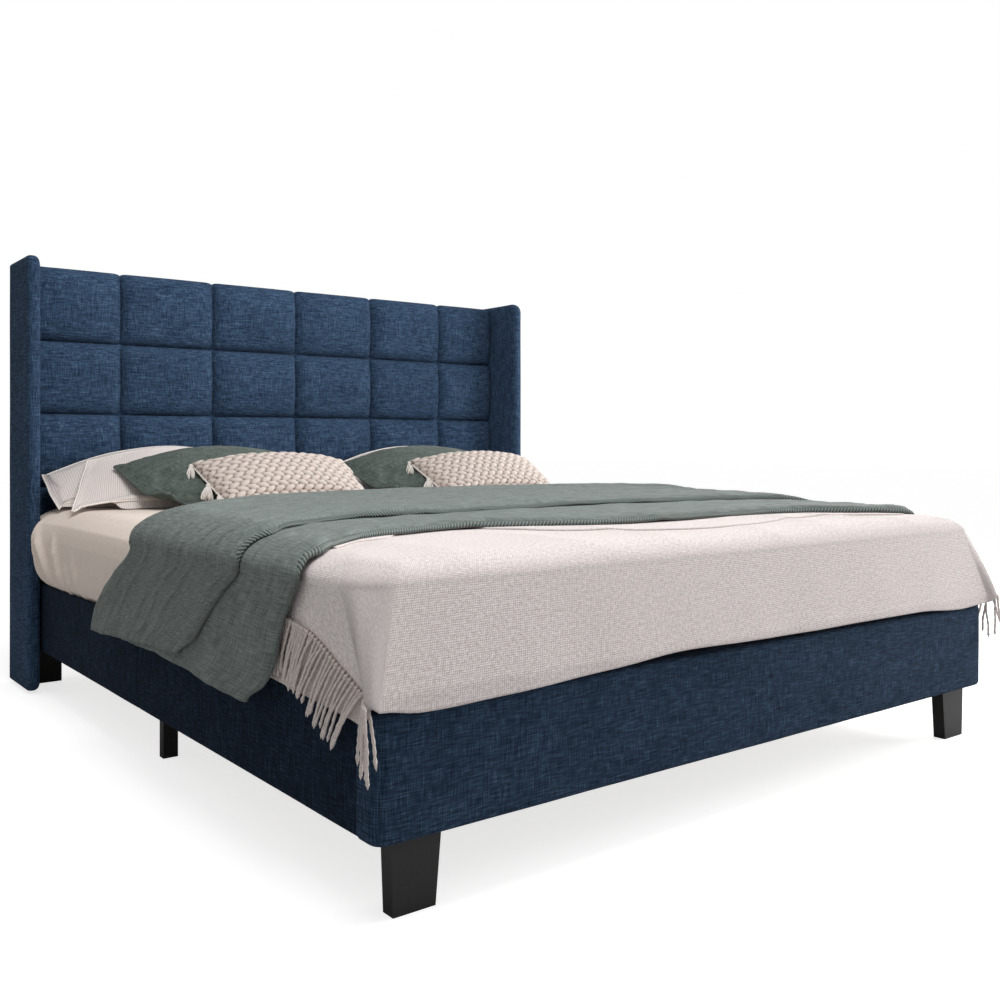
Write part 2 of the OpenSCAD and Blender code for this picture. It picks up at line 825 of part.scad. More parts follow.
mattress_y0 = foot_in_y + mattress_end_gap;
mattress_y1 = mattress_y0 + mattress_l;
foot_swell = 33;
ring_r = 62;
corner_steps = 4;
body_steps = [
    [0, 0, 0, 18], [0.03, 0, 0, 2], [0.19, 0, 0, 0], [0.25, 0.5, 0, 0], [0.36, 0.88, 0.75, 0],
    [0.52, 1, 1, 0], [0.7, 1, 1, 0], [0.87, 0.78, 0.78, 4], [0.95, 0.42, 0.42, 20],
    [0.99, 0, 0, 25], [1, 0, 0, 62]
];

// The mattress narrows between the wings
neck_x = wing_x - 3 * soft_gap - sheet_t;
neck_start = 30;
neck_end = 3;

function arc_points(cx, cy, r, from, z) = [
    for (k = [0:corner_steps]) let (a = from + 90 * k / corner_steps) [cx + r * cos(a), cy + r * sin(a), z]
];

function ring(hx, hx_neck, y0, y1, z, r) = concat(
    arc_points(hx - r, y0 + r, r, 270, z),
    [[hx, wing_front - neck_start, z], [hx_neck, wing_front - neck_end, z]],
    arc_points(hx_neck - r, y1 - r, r, 0, z),
    arc_points(-hx_neck + r, y1 - r, r, 90, z),
    [[-hx_neck, wing_front - neck_end, z], [-hx, wing_front - neck_start, z]],
    arc_points(-hx + r, y0 + r, r, 180, z)
);

// The mattress swells over the rails and the footboard, and draws in at the head
function body_ring(step, grow) =
    let (half = mattress_w / 2 + step[1] * mattress_swell - step[3])
    ring(
        half + grow,
        min(half, neck_x) + grow,
        mattress_y0 - step[2] * foot_swell + step[3] - grow,
        mattress_y1 - step[3] + grow,
        mattress_z + step[0] * mattress_h + (step[0] == 1 ? grow : 0),
        ring_r + grow
    );

module mattress() {
    color("#efe9e2") ring_stack([for (s = body_steps) body_ring(s, 0)]);
}

module fitted_sheet() {
    up = [for (i = [1:len(body_steps) - 1]) body_ring(body_steps[i], soft_gap + sheet_t)];
    down = [for (i = [len(body_steps) - 1:-1:1]) body_ring(body_steps[i], soft_gap)];
    color("#cbbdb2") ring_stack(concat(down, up), len(down));
}

// Cloth over the foot of the bed: a grid from a line across the top, out over the edge and
// down to the hems.

body_x = mattress_w / 2 + mattress_swell + soft_gap + sheet_t;
body_foot = mattress_y0 - foot_swell - soft_gap - sheet_t;
side_steps = 6;
foot_steps = 10;
path_count = 2 * side_steps + 2 * corner_steps + foot_steps;
// The cloth's shoulder over the mattress edge: [distance in from the side, drop from the top]
shoulder_steps = [[92, 0], [34, 3], [10, 16], [0, 42]];
shoulder_drop = 42;
// Here the cloth reaches the plane of the footboard's front; its corner is sharper from here down
hang_z = foot_top + 24;
hang_r = 3.5;
// The hidden edge of the cloth dips a little towards the foot in the middle
crease_x = 400;
crease_dip = 40;

// A point on the path down the left side, round the foot and up the right side
function foot_path(k, hx, y0, r, edge) =
    let (n = side_steps, c = corner_steps, f = foot_steps)
    k <= n ? [-hx, edge + (y0 + r - edge) * k / n] :
    k <= n + c ? let (a = 180 + 90 * (k - n) / c) [-hx + r + r * cos(a), y0 + r + r * sin(a)] :
    k <= n + c + f ? [-hx + r + (2 * hx - 2 * r) * (k - n - c) / f, y0] :
    k <= n + 2 * c + f ?
        let (a = 270 + 90 * (k - n - c - f) / c) [hx - r + r * cos(a), y0 + r + r * sin(a)] :
    [hx, y0 + r + (edge - y0 - r) * (k - n - 2 * c - f) / n];

// How far a path place is from the foot corner towards the cloth's hidden edge, 0 to 1
function side_share(k) =
    k < side_steps ? 1 - k / side_steps :
    k > path_count - side_steps ? 1 - (path_count - k) / side_steps : 0;

function is_foot(k) = k > side_steps + corner_steps && k < path_count - side_steps - corner_steps;

// Folds hang outwards only, deeper towards the hem
function fold(k, share, depth) = share * depth * (0.5 - 0.5 * cos(k * 60));

// One surface of a cloth that lies a distance off the sheet
function foot_cloth(off, top, edge, hem_side, hem_corner, hem_foot, depth) =
    let (start = top - shoulder_drop, levels = [(start + hang_z) / 2, hang_z, hem_corner])
    concat(
        [[for (k = [0:path_count]) let (s = 2 * k / path_count - 1)
            [crease_x * s, edge - crease_dip * (1 - abs(s)), top]]],
        [for (step = shoulder_steps) [for (k = [0:path_count])
            let (p = foot_path(k, body_x + off - step[0], body_foot - off + step[0], ring_r + off, edge))
            [p[0], p[1], top - step[1]]]],
        [for (level = levels) [for (k = [0:path_count])
            let (
                share = (start - level) / (start - hem_corner),
                hem = hem_corner + (hem_side - hem_corner) * side_share(k),
                z = !is_foot(k) ? start + (hem - start) * share : level == hem_corner ? hem_foot : level,
                run = min(1, (start - level) / (start - hang_z)),
                out = fold(k, share, depth),
                y0 = body_foot - off + run * (foot_y - body_foot) - out,
                p = foot_path(k, body_x + off + out, y0, ring_r + run * (hang_r - ring_r) + off, edge)
            )
            [p[0], p[1], z]]]
    );

module foot_drape(off, thick, top, edge, hem_side, hem_corner, hem_foot, depth) {
    outer = foot_cloth(off + thick, top, edge, hem_side, hem_corner, hem_foot, depth);
    inner = foot_cloth(off, top - thick, edge, hem_side, hem_corner, hem_foot, depth);
    between(outer, inner);
}

blanket_edge = foot_y + blanket_reach;
throw_edge = foot_y + throw_reach;
// Rise of the cream blanket's hem at the hidden edge, at the foot corners and at the foot
blanket_rise = [15, -10, 20];

module cream_blanket() {
    color("#d9cfcb") foot_drape(soft_gap, blanket_t, blanket_top, blanket_edge,
        blanket_hem + blanket_rise[0], blanket_hem + blanket_rise[1], blanket_hem + blanket_rise[2], 0);
}

module fringed_throw() {
    color("#d2c8c6") foot_drape(blanket_front + soft_gap, throw_t, throw_top, throw_edge,
        throw_side_hem, throw_corner_hem, throw_hem, fold_depth);
}

// Fringe strands hang on the outside of the throw's side hems
strand_r = 1.8;
strand_lap = 8;
strand_inset = 0.15;

module throw_fringe() {
    reach = blanket_front + soft_gap + throw_t;
    rows = foot_cloth(reach, throw_top, throw_edge,
        throw_side_hem, throw_corner_hem, throw_hem, fold_depth);
    hem = rows[len(rows) - 1];
    color("#d2c8c6") on_both_sides() for (i = [0:fringe_count - 1]) {
        place = strand_inset + (side_steps - 2 * strand_inset) * i / (fringe_count - 1);
        k = floor(place);
        p = hem[k] + (hem[k + 1] - hem[k]) * (place - k);
        translate([-p[0] + soft_gap + strand_r, p[1], p[2] + strand_lap - fringe_l])
            cylinder(r = strand_r, h = fringe_l, $fn = 6);
    }
}

// Green blanket: folded double at its head edge, over the top and both sides

cover_in_x = body_x + throw_front + fold_depth + soft_gap + 2 * strand_r + soft_gap;
cover_in_top = throw_top + soft_gap;
cover_flat = cover_in_x - shoulder_steps[0][0];
cover_shoulder_z = cover_in_top - shoulder_drop;
cover_drop = cover_shoulder_z - cover_hem;
// Lean of the thickness towards the side at each shoulder step
cover_lean = [0, 0.2, 0.55, 0.9];
// Across one half: [x, height, lean of the thickness towards the side, share of the side run]
cover_steps = concat(
    [for (share = [0, 0.36, 0.7, 1]) [share * cover_flat, cover_in_top, 0, 0]],
    [for (k = [1:3])
        [cover_in_x - shoulder_steps[k][0], cover_in_top - shoulder_steps[k][1], cover_lean[k], 0]],
    [for (share = [0.35, 0.68, 1]) [cover_in_x, cover_shoulder_z - share * cover_drop, 1, share]]
);
cover_low_y = foot_y + cover_near;
cover_high_y = foot_y + cover_far;
// Both edges run towards the foot at the sides of the top, and back again down the drop
cover_low_bow = [300, 200];
cover_high_bow = [390, 350];
// Where the upper layer ends, and the rows from the foot edge to the head edge
cover_double = 0.24;
cover_ys = [0, 0.06, 0.15, cover_double - 0.01, cover_double + 0.005, 0.4, 0.55, 0.7, 0.85, 0.97, 1];

// A place on the cover: f runs from the foot edge to the head edge, lift is 0 or 1
function cover_point(side, step, f, lift) =
    let (
        layers = (f >= cover_double ? 2 : 1) * lift * (f == 1 ? 0.6 : 1),
        out = step[0] / cover_in_x,
        low = cover_low_y - cover_low_bow[0] * out * out + cover_low_bow[1] * step[3],
        high = cover_high_y - cover_high_bow[0] * out * out + cover_high_bow[1] * step[3],
        wave = step[3] * fold_depth * (0.5 - 0.5 * cos(f * 900))
    )
    [
        side * (step[0] + step[2] * layers * cover_t + wave),
        low + (high - low) * f,
        step[1] + (1 - step[2]) * layers * cover_top_t
    ];

function cover_rows(lift) = [for (f = cover_ys) concat(
    [for (i = [len(cover_steps) - 1:-1:1]) cover_point(left, cover_steps[i], f, lift)],
    [for (s = cover_steps) cover_point(right, s, f, lift)]
)];

module green_blanket() {
    color("#5d7069") between(cover_rows(0), cover_rows(1));
}

// Pillows and cushions: two crowned faces on a shared seam, leaning back

pillow_us = 10;
pillow_vs = 6;
pillow_seam_t = 4;
// How far the sides draw in between the corners, as a share of the width and of the height
pillow_waist_x = 0.045;
pillow_waist_z = 0.07;

function seam_x(w, v, taper) =
    w / 2 * (1 - pillow_waist_x * (1 - v * v)) * (1 - taper * (1 + v) / 2);

// One face of a pillow: w wide, h high, a crown to one side, corners pulled out, and narrower
// by a share of its width at the upper edge
function pillow_face(w, h, bulge, taper) = [
    for (j = [0:pillow_vs]) [for (i = [0:pillow_us])
        let (
            u = sin(90 * (2 * i / pillow_us - 1)),
            v = sin(90 * (2 * j / pillow_vs - 1)),
            full = pow(1 - pow(abs(u), 3), 0.6) * pow(1 - pow(abs(v), 2.4), 0.6),
            edge = bulge > 0 ? pillow_seam_t / 2 : -pillow_seam_t / 2
        )
        [seam_x(w, v, taper) * u, edge + bulge * full, h / 2 * v * (1 - pillow_waist_z * (1 - u * u))]]
];

function leaned(p, tilt) =
    [p[0], p[1] * sin(tilt) + p[2] * cos(tilt), -p[1] * cos(tilt) + p[2] * sin(tilt)];

function leaned_rows(rows, tilt) = [for (row = rows) [for (p = row) leaned(p, tilt)]];

// Height of a pillow's middle, so that it rests on the sheet
function pillow_z(w, h, form) =
    let (rows = concat(pillow_face(w, h, -form[0], form[5]), pillow_face(w, h, form[1], form[5])))
    sheet_top + soft_gap - min([for (p = flat(leaned_rows(rows, form[2]))) p[2]]);

function pillow_y(reach, h, form) = pad_y - reach + h / 2 * cos(form[2]);

// Where a point goes as the pillow sinks towards the sheet, most at its ends
function sunk(p, x, w, form) =
    let (over = max(0, p[2] - sheet_top), u = (p[0] - x) / (w / 2))
    [p[0], p[1], p[2] - over * (form[3] + form[4] * u * u)];

// A pillow whose lower edge lies a reach in front of the headboard pad
module pillow(x, reach, w, h, form) {
    place = [x, pillow_y(reach, h, form), pillow_z(w, h, form)];
    faces = [for (bulge = [form[1], -form[0]])
        [for (row = leaned_rows(pillow_face(w, h, bulge, form[5]), form[2]))
            [for (p = row) sunk(place + p, x, w, form)]]];
    between(faces[0], faces[1]);
}

// Places across the bed
white_gap = 18;
// On a narrow bed the white pillows are narrower, so that they don't meet in the middle
white_middle = 10;
white_wide = min(white_w, wing_x - white_gap - white_middle);
white_x = wing_x - white_gap - white_wide / 2;
green_x = 425;
knit_left_x = -300;
knit_right_x = 560;
// How far each lower edge lies in front of the headboard pad
white_back_reach = 212;
white_front_reach = 352;
green_reach = 478;
knit_reach = 596;
// Crown of the front face, crown of the back face, lean from level, share that the whole sinks,
// share that the ends sink further, and share that the upper edge is narrower
white_back_form = [42, 44, 50, 0.08, 0.5, 0];
white_front_form = [44, 30, 42, 0.08, 0.5, 0.28];
green_form = [42, 22, 38, 0, 0.3, 0];
knit_form = [42, 18, 36, 0, 0.08, 0];

module white_pillow_back(side) {
    color("#e6dfda")
        pillow(side * white_x, white_back_reach, white_wide, white_back_h, white_back_form);
}

module white_pillow_front(side) {
    color("#e6dfda")
        pillow(side * white_x, white_front_reach, white_wide, white_front_h, white_front_form);
}

module green_pillow(side) {
    color("#4f625c") pillow(side * green_x, green_reach, green_w, green_h, green_form);
}

module knit_cushion(x) {
    color("#d3c3b5") pillow(x, knit_reach, knit_w, knit_h, knit_form);
}

// Tassels hang from the seam at both short sides of a knitted cushion
tassel_l = 42;
tassel_knob_r = 6;
tassel_splay = 25;
// Rows of the cushion's grid at which a tassel is sewn on
tassel_rows = [2, 3, 5];

module tassel() {
    sphere(r = tassel_knob_r);
    translate([0, 0, -tassel_l]) cylinder(r1 = 10, r2 = 4, h = tassel_l - 2);
}

module tassels(x) {
    place = [x, pillow_y(knit_reach, knit_h, knit_form), pillow_z(knit_w, knit_h, knit_form)];
    color("#efebe6") for (s = [-1, 1], j = tassel_rows) {
        v = sin(90 * (2 * j / pillow_vs - 1));
        root = [s * (seam_x(knit_w, v, 0) + soft_gap + tassel_knob_r), 0, knit_h / 2 * v];
        translate(sunk(place + leaned(root, knit_form[2]), x, knit_w, knit_form))
            rotate([knit_form[2] - 90, 0, 0]) rotate([0, -s * tassel_splay, 0]) tassel();
    }
}

headboard_board();
headboard_frame();
headboard_tufted_pad();
headboard_back_cover();
headboard_leg(left);  // headboard_leg_left
headboard_leg(right);  // headboard_leg_right
wing_board(left);  // wing_board_left
wing_board(right);  // wing_board_right
wing_cover(left);  // wing_cover_left
wing_cover(right);  // wing_cover_right
rail_board(left, foot_in_y, joint_y, rail_front_bolts);  // rail_board_left_front
rail_board(left, joint_y, board_y, rail_rear_bolts);  // rail_board_left_rear
rail_board(right, foot_in_y, joint_y, rail_front_bolts);  // rail_board_right_front
rail_board(right, joint_y, board_y, rail_rear_bolts);  // rail_board_right_rear
rail_cover(left, foot_in_y, joint_y);  // rail_cover_left_front
rail_cover(left, joint_y, board_y);  // rail_cover_left_rear
rail_cover(right, foot_in_y, joint_y);  // rail_cover_right_front
rail_cover(right, joint_y, board_y);  // rail_cover_right_rear
slat_ledges();
joining_angles();
side_leg(left);  // side_leg_left
side_leg(right);  // side_leg_right
footboard_core();
footboard_cover();
front_leg(left);  // front_leg_left
front_leg(right);  // front_leg_right
corner_brackets();
frame_bolts();
threaded_inserts();
centre_beam(foot_core_y + beam_end_gap, joint_y);  // centre_beam_front
centre_beam(joint_y, board_y - beam_end_gap);  // centre_beam_rear
centre_beam_sleeve();
beam_hangers();
centre_leg(leg_ys[0]);  // centre_leg_front
centre_leg(leg_ys[1]);  // centre_leg_middle
centre_leg(leg_ys[2]);  // centre_leg_rear
level_stem(leg_ys[0]);  // level_stem_front
level_stem(leg_ys[1]);  // level_stem_middle
level_stem(leg_ys[2]);  // level_stem_rear
foot_pad(leg_ys[0]);  // foot_pad_front
foot_pad(leg_ys[1]);  // foot_pad_middle
foot_pad(leg_ys[2]);  // foot_pad_rear
slats();
slat_straps();
mattress();
fitted_sheet();
white_pillow_back(left);  // white_pillow_back_left
white_pillow_back(right);  // white_pillow_back_right
white_pillow_front(left);  // white_pillow_front_left
white_pillow_front(right);  // white_pillow_front_right
green_pillow(left);  // green_pillow_left
green_pillow(right);  // green_pillow_right
knit_cushion(knit_left_x);  // knit_cushion_left
knit_cushion(knit_right_x);  // knit_cushion_right
tassels(knit_left_x);  // tassels_left
tassels(knit_right_x);  // tassels_right
green_blanket();
cream_blanket();
fringed_throw();
throw_fringe();
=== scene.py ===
import math
import random

import bmesh
import bpy
from mathutils import Matrix, Vector, noise


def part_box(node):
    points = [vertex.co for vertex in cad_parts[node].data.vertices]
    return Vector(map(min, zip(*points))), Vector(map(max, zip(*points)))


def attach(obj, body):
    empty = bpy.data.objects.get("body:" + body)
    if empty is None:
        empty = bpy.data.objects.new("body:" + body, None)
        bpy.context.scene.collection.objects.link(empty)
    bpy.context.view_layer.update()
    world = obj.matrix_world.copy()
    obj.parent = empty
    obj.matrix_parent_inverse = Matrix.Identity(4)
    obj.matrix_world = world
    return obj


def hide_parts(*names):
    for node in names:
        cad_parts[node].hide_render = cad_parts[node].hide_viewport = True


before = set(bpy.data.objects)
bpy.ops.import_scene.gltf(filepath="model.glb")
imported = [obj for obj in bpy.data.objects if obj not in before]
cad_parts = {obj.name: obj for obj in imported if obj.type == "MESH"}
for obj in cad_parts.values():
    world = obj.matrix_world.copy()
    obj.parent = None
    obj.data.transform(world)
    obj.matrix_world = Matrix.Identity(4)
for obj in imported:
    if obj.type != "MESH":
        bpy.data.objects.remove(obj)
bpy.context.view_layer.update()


# The camera stands low at the foot end, left of the bed, and looks level towards the headboard.
# Its height, turn and focal length are fitted to the bed's edges in the photograph.
camera = bpy.data.objects.new("camera", bpy.data.cameras.new("camera"))
bpy.context.scene.collection.objects.link(camera)
bpy.context.scene.camera = camera
camera.location = (-1.9109, -2.4970, 0.8012)
camera.rotation_euler = (math.radians(90), 0, -0.6201)
camera.data.sensor_width = 36
camera.data.lens = 36.912
camera.data.shift_x = 0.08
camera.data.shift_y = -0.05693


# Studio: a pale seamless floor, a big soft light low on the right, a softer one overhead at the
# foot, a small one raking along the headboard, and an even white surround. The floor is burnt
# out to white, as the photograph's is.
def colour(code):
    """Linear colour of an sRGB hex value."""
    parts = [int(code[i:i + 2], 16) / 255 for i in (1, 3, 5)]
    return tuple(c / 12.92 if c <= 0.04045 else ((c + 0.055) / 1.055) ** 2.4 for c in parts) + (1,)


def add(tree, kind, inputs=(), **settings):
    """Adds one node with its settings; inputs are values or other nodes' outputs."""
    node = tree.nodes.new(kind)
    for key, value in settings.items():
        setattr(node, key, value)
    for key, value in dict(inputs).items():
        if isinstance(value, bpy.types.NodeSocket):
            tree.links.new(value, node.inputs[key])
        else:
            node.inputs[key].default_value = value
    return node


def finish(name, roughness, **inputs):
    """A new material with its shader's plain values; returns it, its tree and its shader."""
    material = bpy.data.materials.new(name)
    material.use_nodes = True
    shader = material.node_tree.nodes["Principled BSDF"]
    shader.inputs["Roughness"].default_value = roughness
    for key, value in inputs.items():
        shader.inputs[key.replace("_", " ")].default_value = value
    return material, material.node_tree, shader


def shade(tree, where, stops):
    """A colour ramp: stops are (place, hex colour)."""
    ramp = add(tree, "ShaderNodeValToRGB", {"Fac": where})
    band = ramp.color_ramp
    while len(band.elements) < len(stops):
        band.elements.new(0.5)
    for element, (place, code) in zip(band.elements, stops):
        element.position = place
        element.color = colour(code)
    return ramp.outputs["Color"]


def spot_in(tree, space, scale=None):
    """The shaded point's place, Object or UV, stretched by a scale if one is given."""
    spot = add(tree, "ShaderNodeTexCoord").outputs[space]
    return stretched(tree, spot, scale) if scale else spot


def stretched(tree, spot, scale):
    return add(tree, "ShaderNodeMapping", {"Vector": spot, "Scale": scale}).outputs["Vector"]


def speckle(tree, spot, scale=1.0, detail=2.0, **more):
    """Noise at a place, about 0 to 1."""
    return add(tree, "ShaderNodeTexNoise", {
        "Vector": spot, "Scale": scale, "Detail": detail, **more}).outputs["Fac"]


def stripes(tree, spot, pitch, way="X", **more):
    """Soft bands at a pitch in metres, 0 to 1."""
    return add(tree, "ShaderNodeTexWave", {"Vector": spot, "Scale": 0.314 / pitch, **more},
               bands_direction=way).outputs["Fac"]


def reckon(tree, kind, *values):
    """One step of arithmetic on node outputs and numbers."""
    return add(tree, "ShaderNodeMath", dict(enumerate(values)), operation=kind).outputs["Value"]


def coat(tree, shader, tone, stops, height=None, depth=0.0):
    """Colours the surface by a tone, and raises it by a height between 0 and 1, depth in metres."""
    tree.links.new(shade(tree, tone, stops), shader.inputs["Base Color"])
    if height is not None:
        bump = add(tree, "ShaderNodeBump", {"Height": height, "Distance": depth})
        tree.links.new(bump.outputs["Normal"], shader.inputs["Normal"])


world = bpy.data.worlds.new("studio")
bpy.context.scene.world = world
world.use_nodes = True
sky = world.node_tree
surround = sky.nodes["Background"]
surround.inputs["Color"].default_value = (1, 1, 1, 1)
# White to the camera, dimmer as a light on the bed
strength = add(sky, "ShaderNodeMapRange", {
    "Value": add(sky, "ShaderNodeLightPath").outputs["Is Camera Ray"],
    "To Min": 0.43, "To Max": 1.0})
sky.links.new(strength.outputs["Result"], surround.inputs["Strength"])


def light(name, place, aim, size, power):
    lamp = bpy.data.lights.new(name, "AREA")
    lamp.shape = "SQUARE"
    lamp.size = size
    lamp.energy = power
    holder = bpy.data.objects.new(name, lamp)
    bpy.context.scene.collection.objects.link(holder)
    holder.location = place
    holder.rotation_euler = (Vector(aim) - Vector(place)).to_track_quat("-Z", "Y").to_euler()


light("side_light", (4.2, -2.2, 1.6), (0, -0.2, 0.5), 2.0, 150)
light("overhead_light", (-0.7, -0.9, 2.9), (-0.4, 0.1, 0.6), 1.6, 50)
light("raking_light", (3.4, 0.35, 1.6), (-0.2, 1.05, 1.05), 0.6, 62)
bpy.context.scene.view_settings.view_transform = "Standard"

shape = bmesh.new()
bmesh.ops.create_grid(shape, x_segments=1, y_segments=1, size=30)
floor = bpy.data.objects.new("floor", bpy.data.meshes.new("floor"))
bpy.context.scene.collection.objects.link(floor)
shape.to_mesh(floor.data)
shape.free()
# Seamless paper: matte white, even, with a faint tooth
paper, tree, shader = finish("seamless paper, matte", 0.9)
coat(tree, shader, speckle(tree, spot_in(tree, "Object"), 300.0),
     [(0.3, "#c9c9c9"), (0.7, "#cecece")])
seen = add(tree, "ShaderNodeLightPath").outputs["Is Camera Ray"]
burnt_out = reckon(tree, "MULTIPLY", seen, 0.72)
shader.inputs["Emission Color"].default_value = (1, 1, 1, 1)
tree.links.new(burnt_out, shader.inputs["Emission Strength"])
floor.data.materials.append(paper)


# Headboard pad: foam under a linen-weave cover, pulled back along stitched lines into squares,
# six across and four up, and stapled round the edge of the headboard's board.
def mould(name, across, along, place, cut=None, join=0.0):
    """A piece formed from a flat grid: place(u, v) puts each point, cut(u, v) is its place on
    the flat cloth in metres. Points closer than join are merged."""
    shape = bmesh.new()
    bmesh.ops.create_grid(shape, x_segments=across, y_segments=along, size=0.5)
    cloth = shape.loops.layers.uv.new("cut")
    for face in shape.faces:
        for corner in face.loops:
            u, v = corner.vert.co.x + 0.5, corner.vert.co.y + 0.5
            corner[cloth].uv = cut(u, v) if cut else (u, v)
    for point in shape.verts:
        point.co = place(point.co.x + 0.5, point.co.y + 0.5)
    if join:
        bmesh.ops.remove_doubles(shape, verts=shape.verts, dist=join)
        bmesh.ops.recalc_face_normals(shape, faces=shape.faces)
    return settle(name, shape)


def settle(name, shape, smooth=True):
    """Makes the object of a finished bmesh."""
    for face in shape.faces:
        face.smooth = smooth
    piece = bpy.data.objects.new(name, bpy.data.meshes.new(name))
    bpy.context.scene.collection.objects.link(piece)
    shape.to_mesh(piece.data)
    shape.free()
    return piece


def thicken(piece, thick, offset=0):
    """Gives a cloth its thickness, half of it on each side unless an offset is given."""
    wall = piece.modifiers.new("cloth", "SOLIDIFY")
    wall.thickness = thick
    wall.offset = offset


def dress(piece, material, body="bed_frame"):
    piece.data.materials.clear()
    piece.data.materials.append(material)
    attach(piece, body)


def linen(name, stops, pitch, streak, depth):
    """Upholstery linen weave: slubbed threads both ways, upright ones and level ones, at the
    given pitch and slub length in metres. The colour changes thread by thread."""
    material, tree, shader = finish(name, 0.9, Sheen_Weight=0.015, Specular_IOR_Level=0.05)
    spot = spot_in(tree, "Object")
    upright = speckle(tree, stretched(tree, spot, (1 / pitch, 1 / pitch, 1 / streak)))
    level = speckle(tree, stretched(tree, spot, (1 / streak, 1 / streak, 1 / pitch)))
    both = reckon(tree, "ADD", upright, level)
    cast = reckon(tree, "MULTIPLY_ADD", speckle(tree, spot, 7.0), 0.16, both)
    tone = add(tree, "ShaderNodeMapRange", {
        "Value": cast, "From Min": 0.72, "From Max": 1.44}).outputs["Result"]
    coat(tree, shader, tone, stops, tone, depth)
    return material


# Navy polyester linen weave, spun from lighter and darker yarns, so it looks heathered
navy = linen("linen-weave polyester, navy heather",
             [(0.1, "#172334"), (0.5, "#2e4057"), (0.75, "#3d526b"), (1.0, "#556b83")],
             0.0022, 0.032, 0.0007)

pad_low, pad_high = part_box("headboard_tufted_pad")
seam_depth = 0.048
crown_rise = 0.007
side_column = 0.300
middle_column = (pad_high.x - pad_low.x - 2 * side_column) / 4
# The stitched lines lie a little to the right of an even spacing
seam_shift = 0.016
columns = [pad_low.x] + [pad_low.x + side_column + seam_shift + k * middle_column
                         for k in range(5)]
columns.append(pad_high.x)
rows = [pad_low.z + k * (pad_high.z - pad_low.z) / 4 for k in range(5)]
across_tile, up_tile = 22, 18


def in_tile(edges, steps, share):
    """Place along a line of squares, bunched at the seams: the place, and the distance from
    the nearer seam as metres and as a share of the half square."""
    step = round(share * steps * (len(edges) - 1))
    tile = min(step // steps, len(edges) - 2)
    turn = (step - tile * steps) / steps
    swing = math.sin(math.pi * (turn - 0.5))
    half = (edges[tile + 1] - edges[tile]) / 2
    return edges[tile] + half * (1 + swing), half * (1 - abs(swing)), swing


def rounded(distance, reach):
    """Quarter round: 0 at a seam, 1 from the reach on."""
    left_over = 1 - min(distance / reach, 1)
    return math.sqrt(1 - left_over ** 2.2)


def raised(gap_x, gap_z, reach, power):
    """0 at a seam, 1 from the reach on. The squares' corners are round: how near a seam a point
    is counts both ways together."""
    near = (max(0, 1 - gap_x / reach) ** 3 + max(0, 1 - gap_z / reach) ** 3) ** (1 / 3)
    return (1 - min(1, near) ** power) ** (1 / power)


def pad_point(u, v):
    x, gap_x, swing_x = in_tile(columns, across_tile, u)
    z, gap_z, swing_z = in_tile(rows, up_tile, v)
    rise = 0.55 * raised(gap_x, gap_z, 0.032, 2.7) + 0.45 * raised(gap_x, gap_z, 0.11, 2.0)
    crown = (1 - swing_x ** 2) * (1 - swing_z ** 2)
    rumple = 0.0016 * noise.noise(Vector((x * 8, 3.1, z * 8)))
    dip = 0.004 * math.exp(-((x - 0.80) / 0.05) ** 2 - ((z - 1.06) / 0.09) ** 2)
    y = pad_low.y - 0.002 + seam_depth - (seam_depth - crown_rise) * rise
    y += -crown_rise * crown + (rumple + dip + 0.0016) * rise
    near_top = max(0, 1 - (pad_high.z - z) / 0.03)
    return Vector((x, y, z + 0.004 * near_top - 0.008 * (1 - rounded(gap_x, 0.03)) * near_top))


pad = mould("headboard_pad", across_tile * 6, up_tile * 4, pad_point)
shape = bmesh.new()
shape.from_mesh(pad.data)
rim = [e for e in shape.edges if e.is_boundary]
for part in bmesh.ops.extrude_edge_only(shape, edges=rim)["geom"]:
    if isinstance(part, bmesh.types.BMVert):
        part.co.y = pad_high.y
for face in bmesh.ops.holes_fill(shape, edges=[e for e in shape.edges if e.is_boundary])["faces"]:
    face.smooth = False
bmesh.ops.recalc_face_normals(shape, faces=shape.faces)
shape.to_mesh(pad.data)
shape.free()
dress(pad, navy)
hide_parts("headboard_tufted_pad")


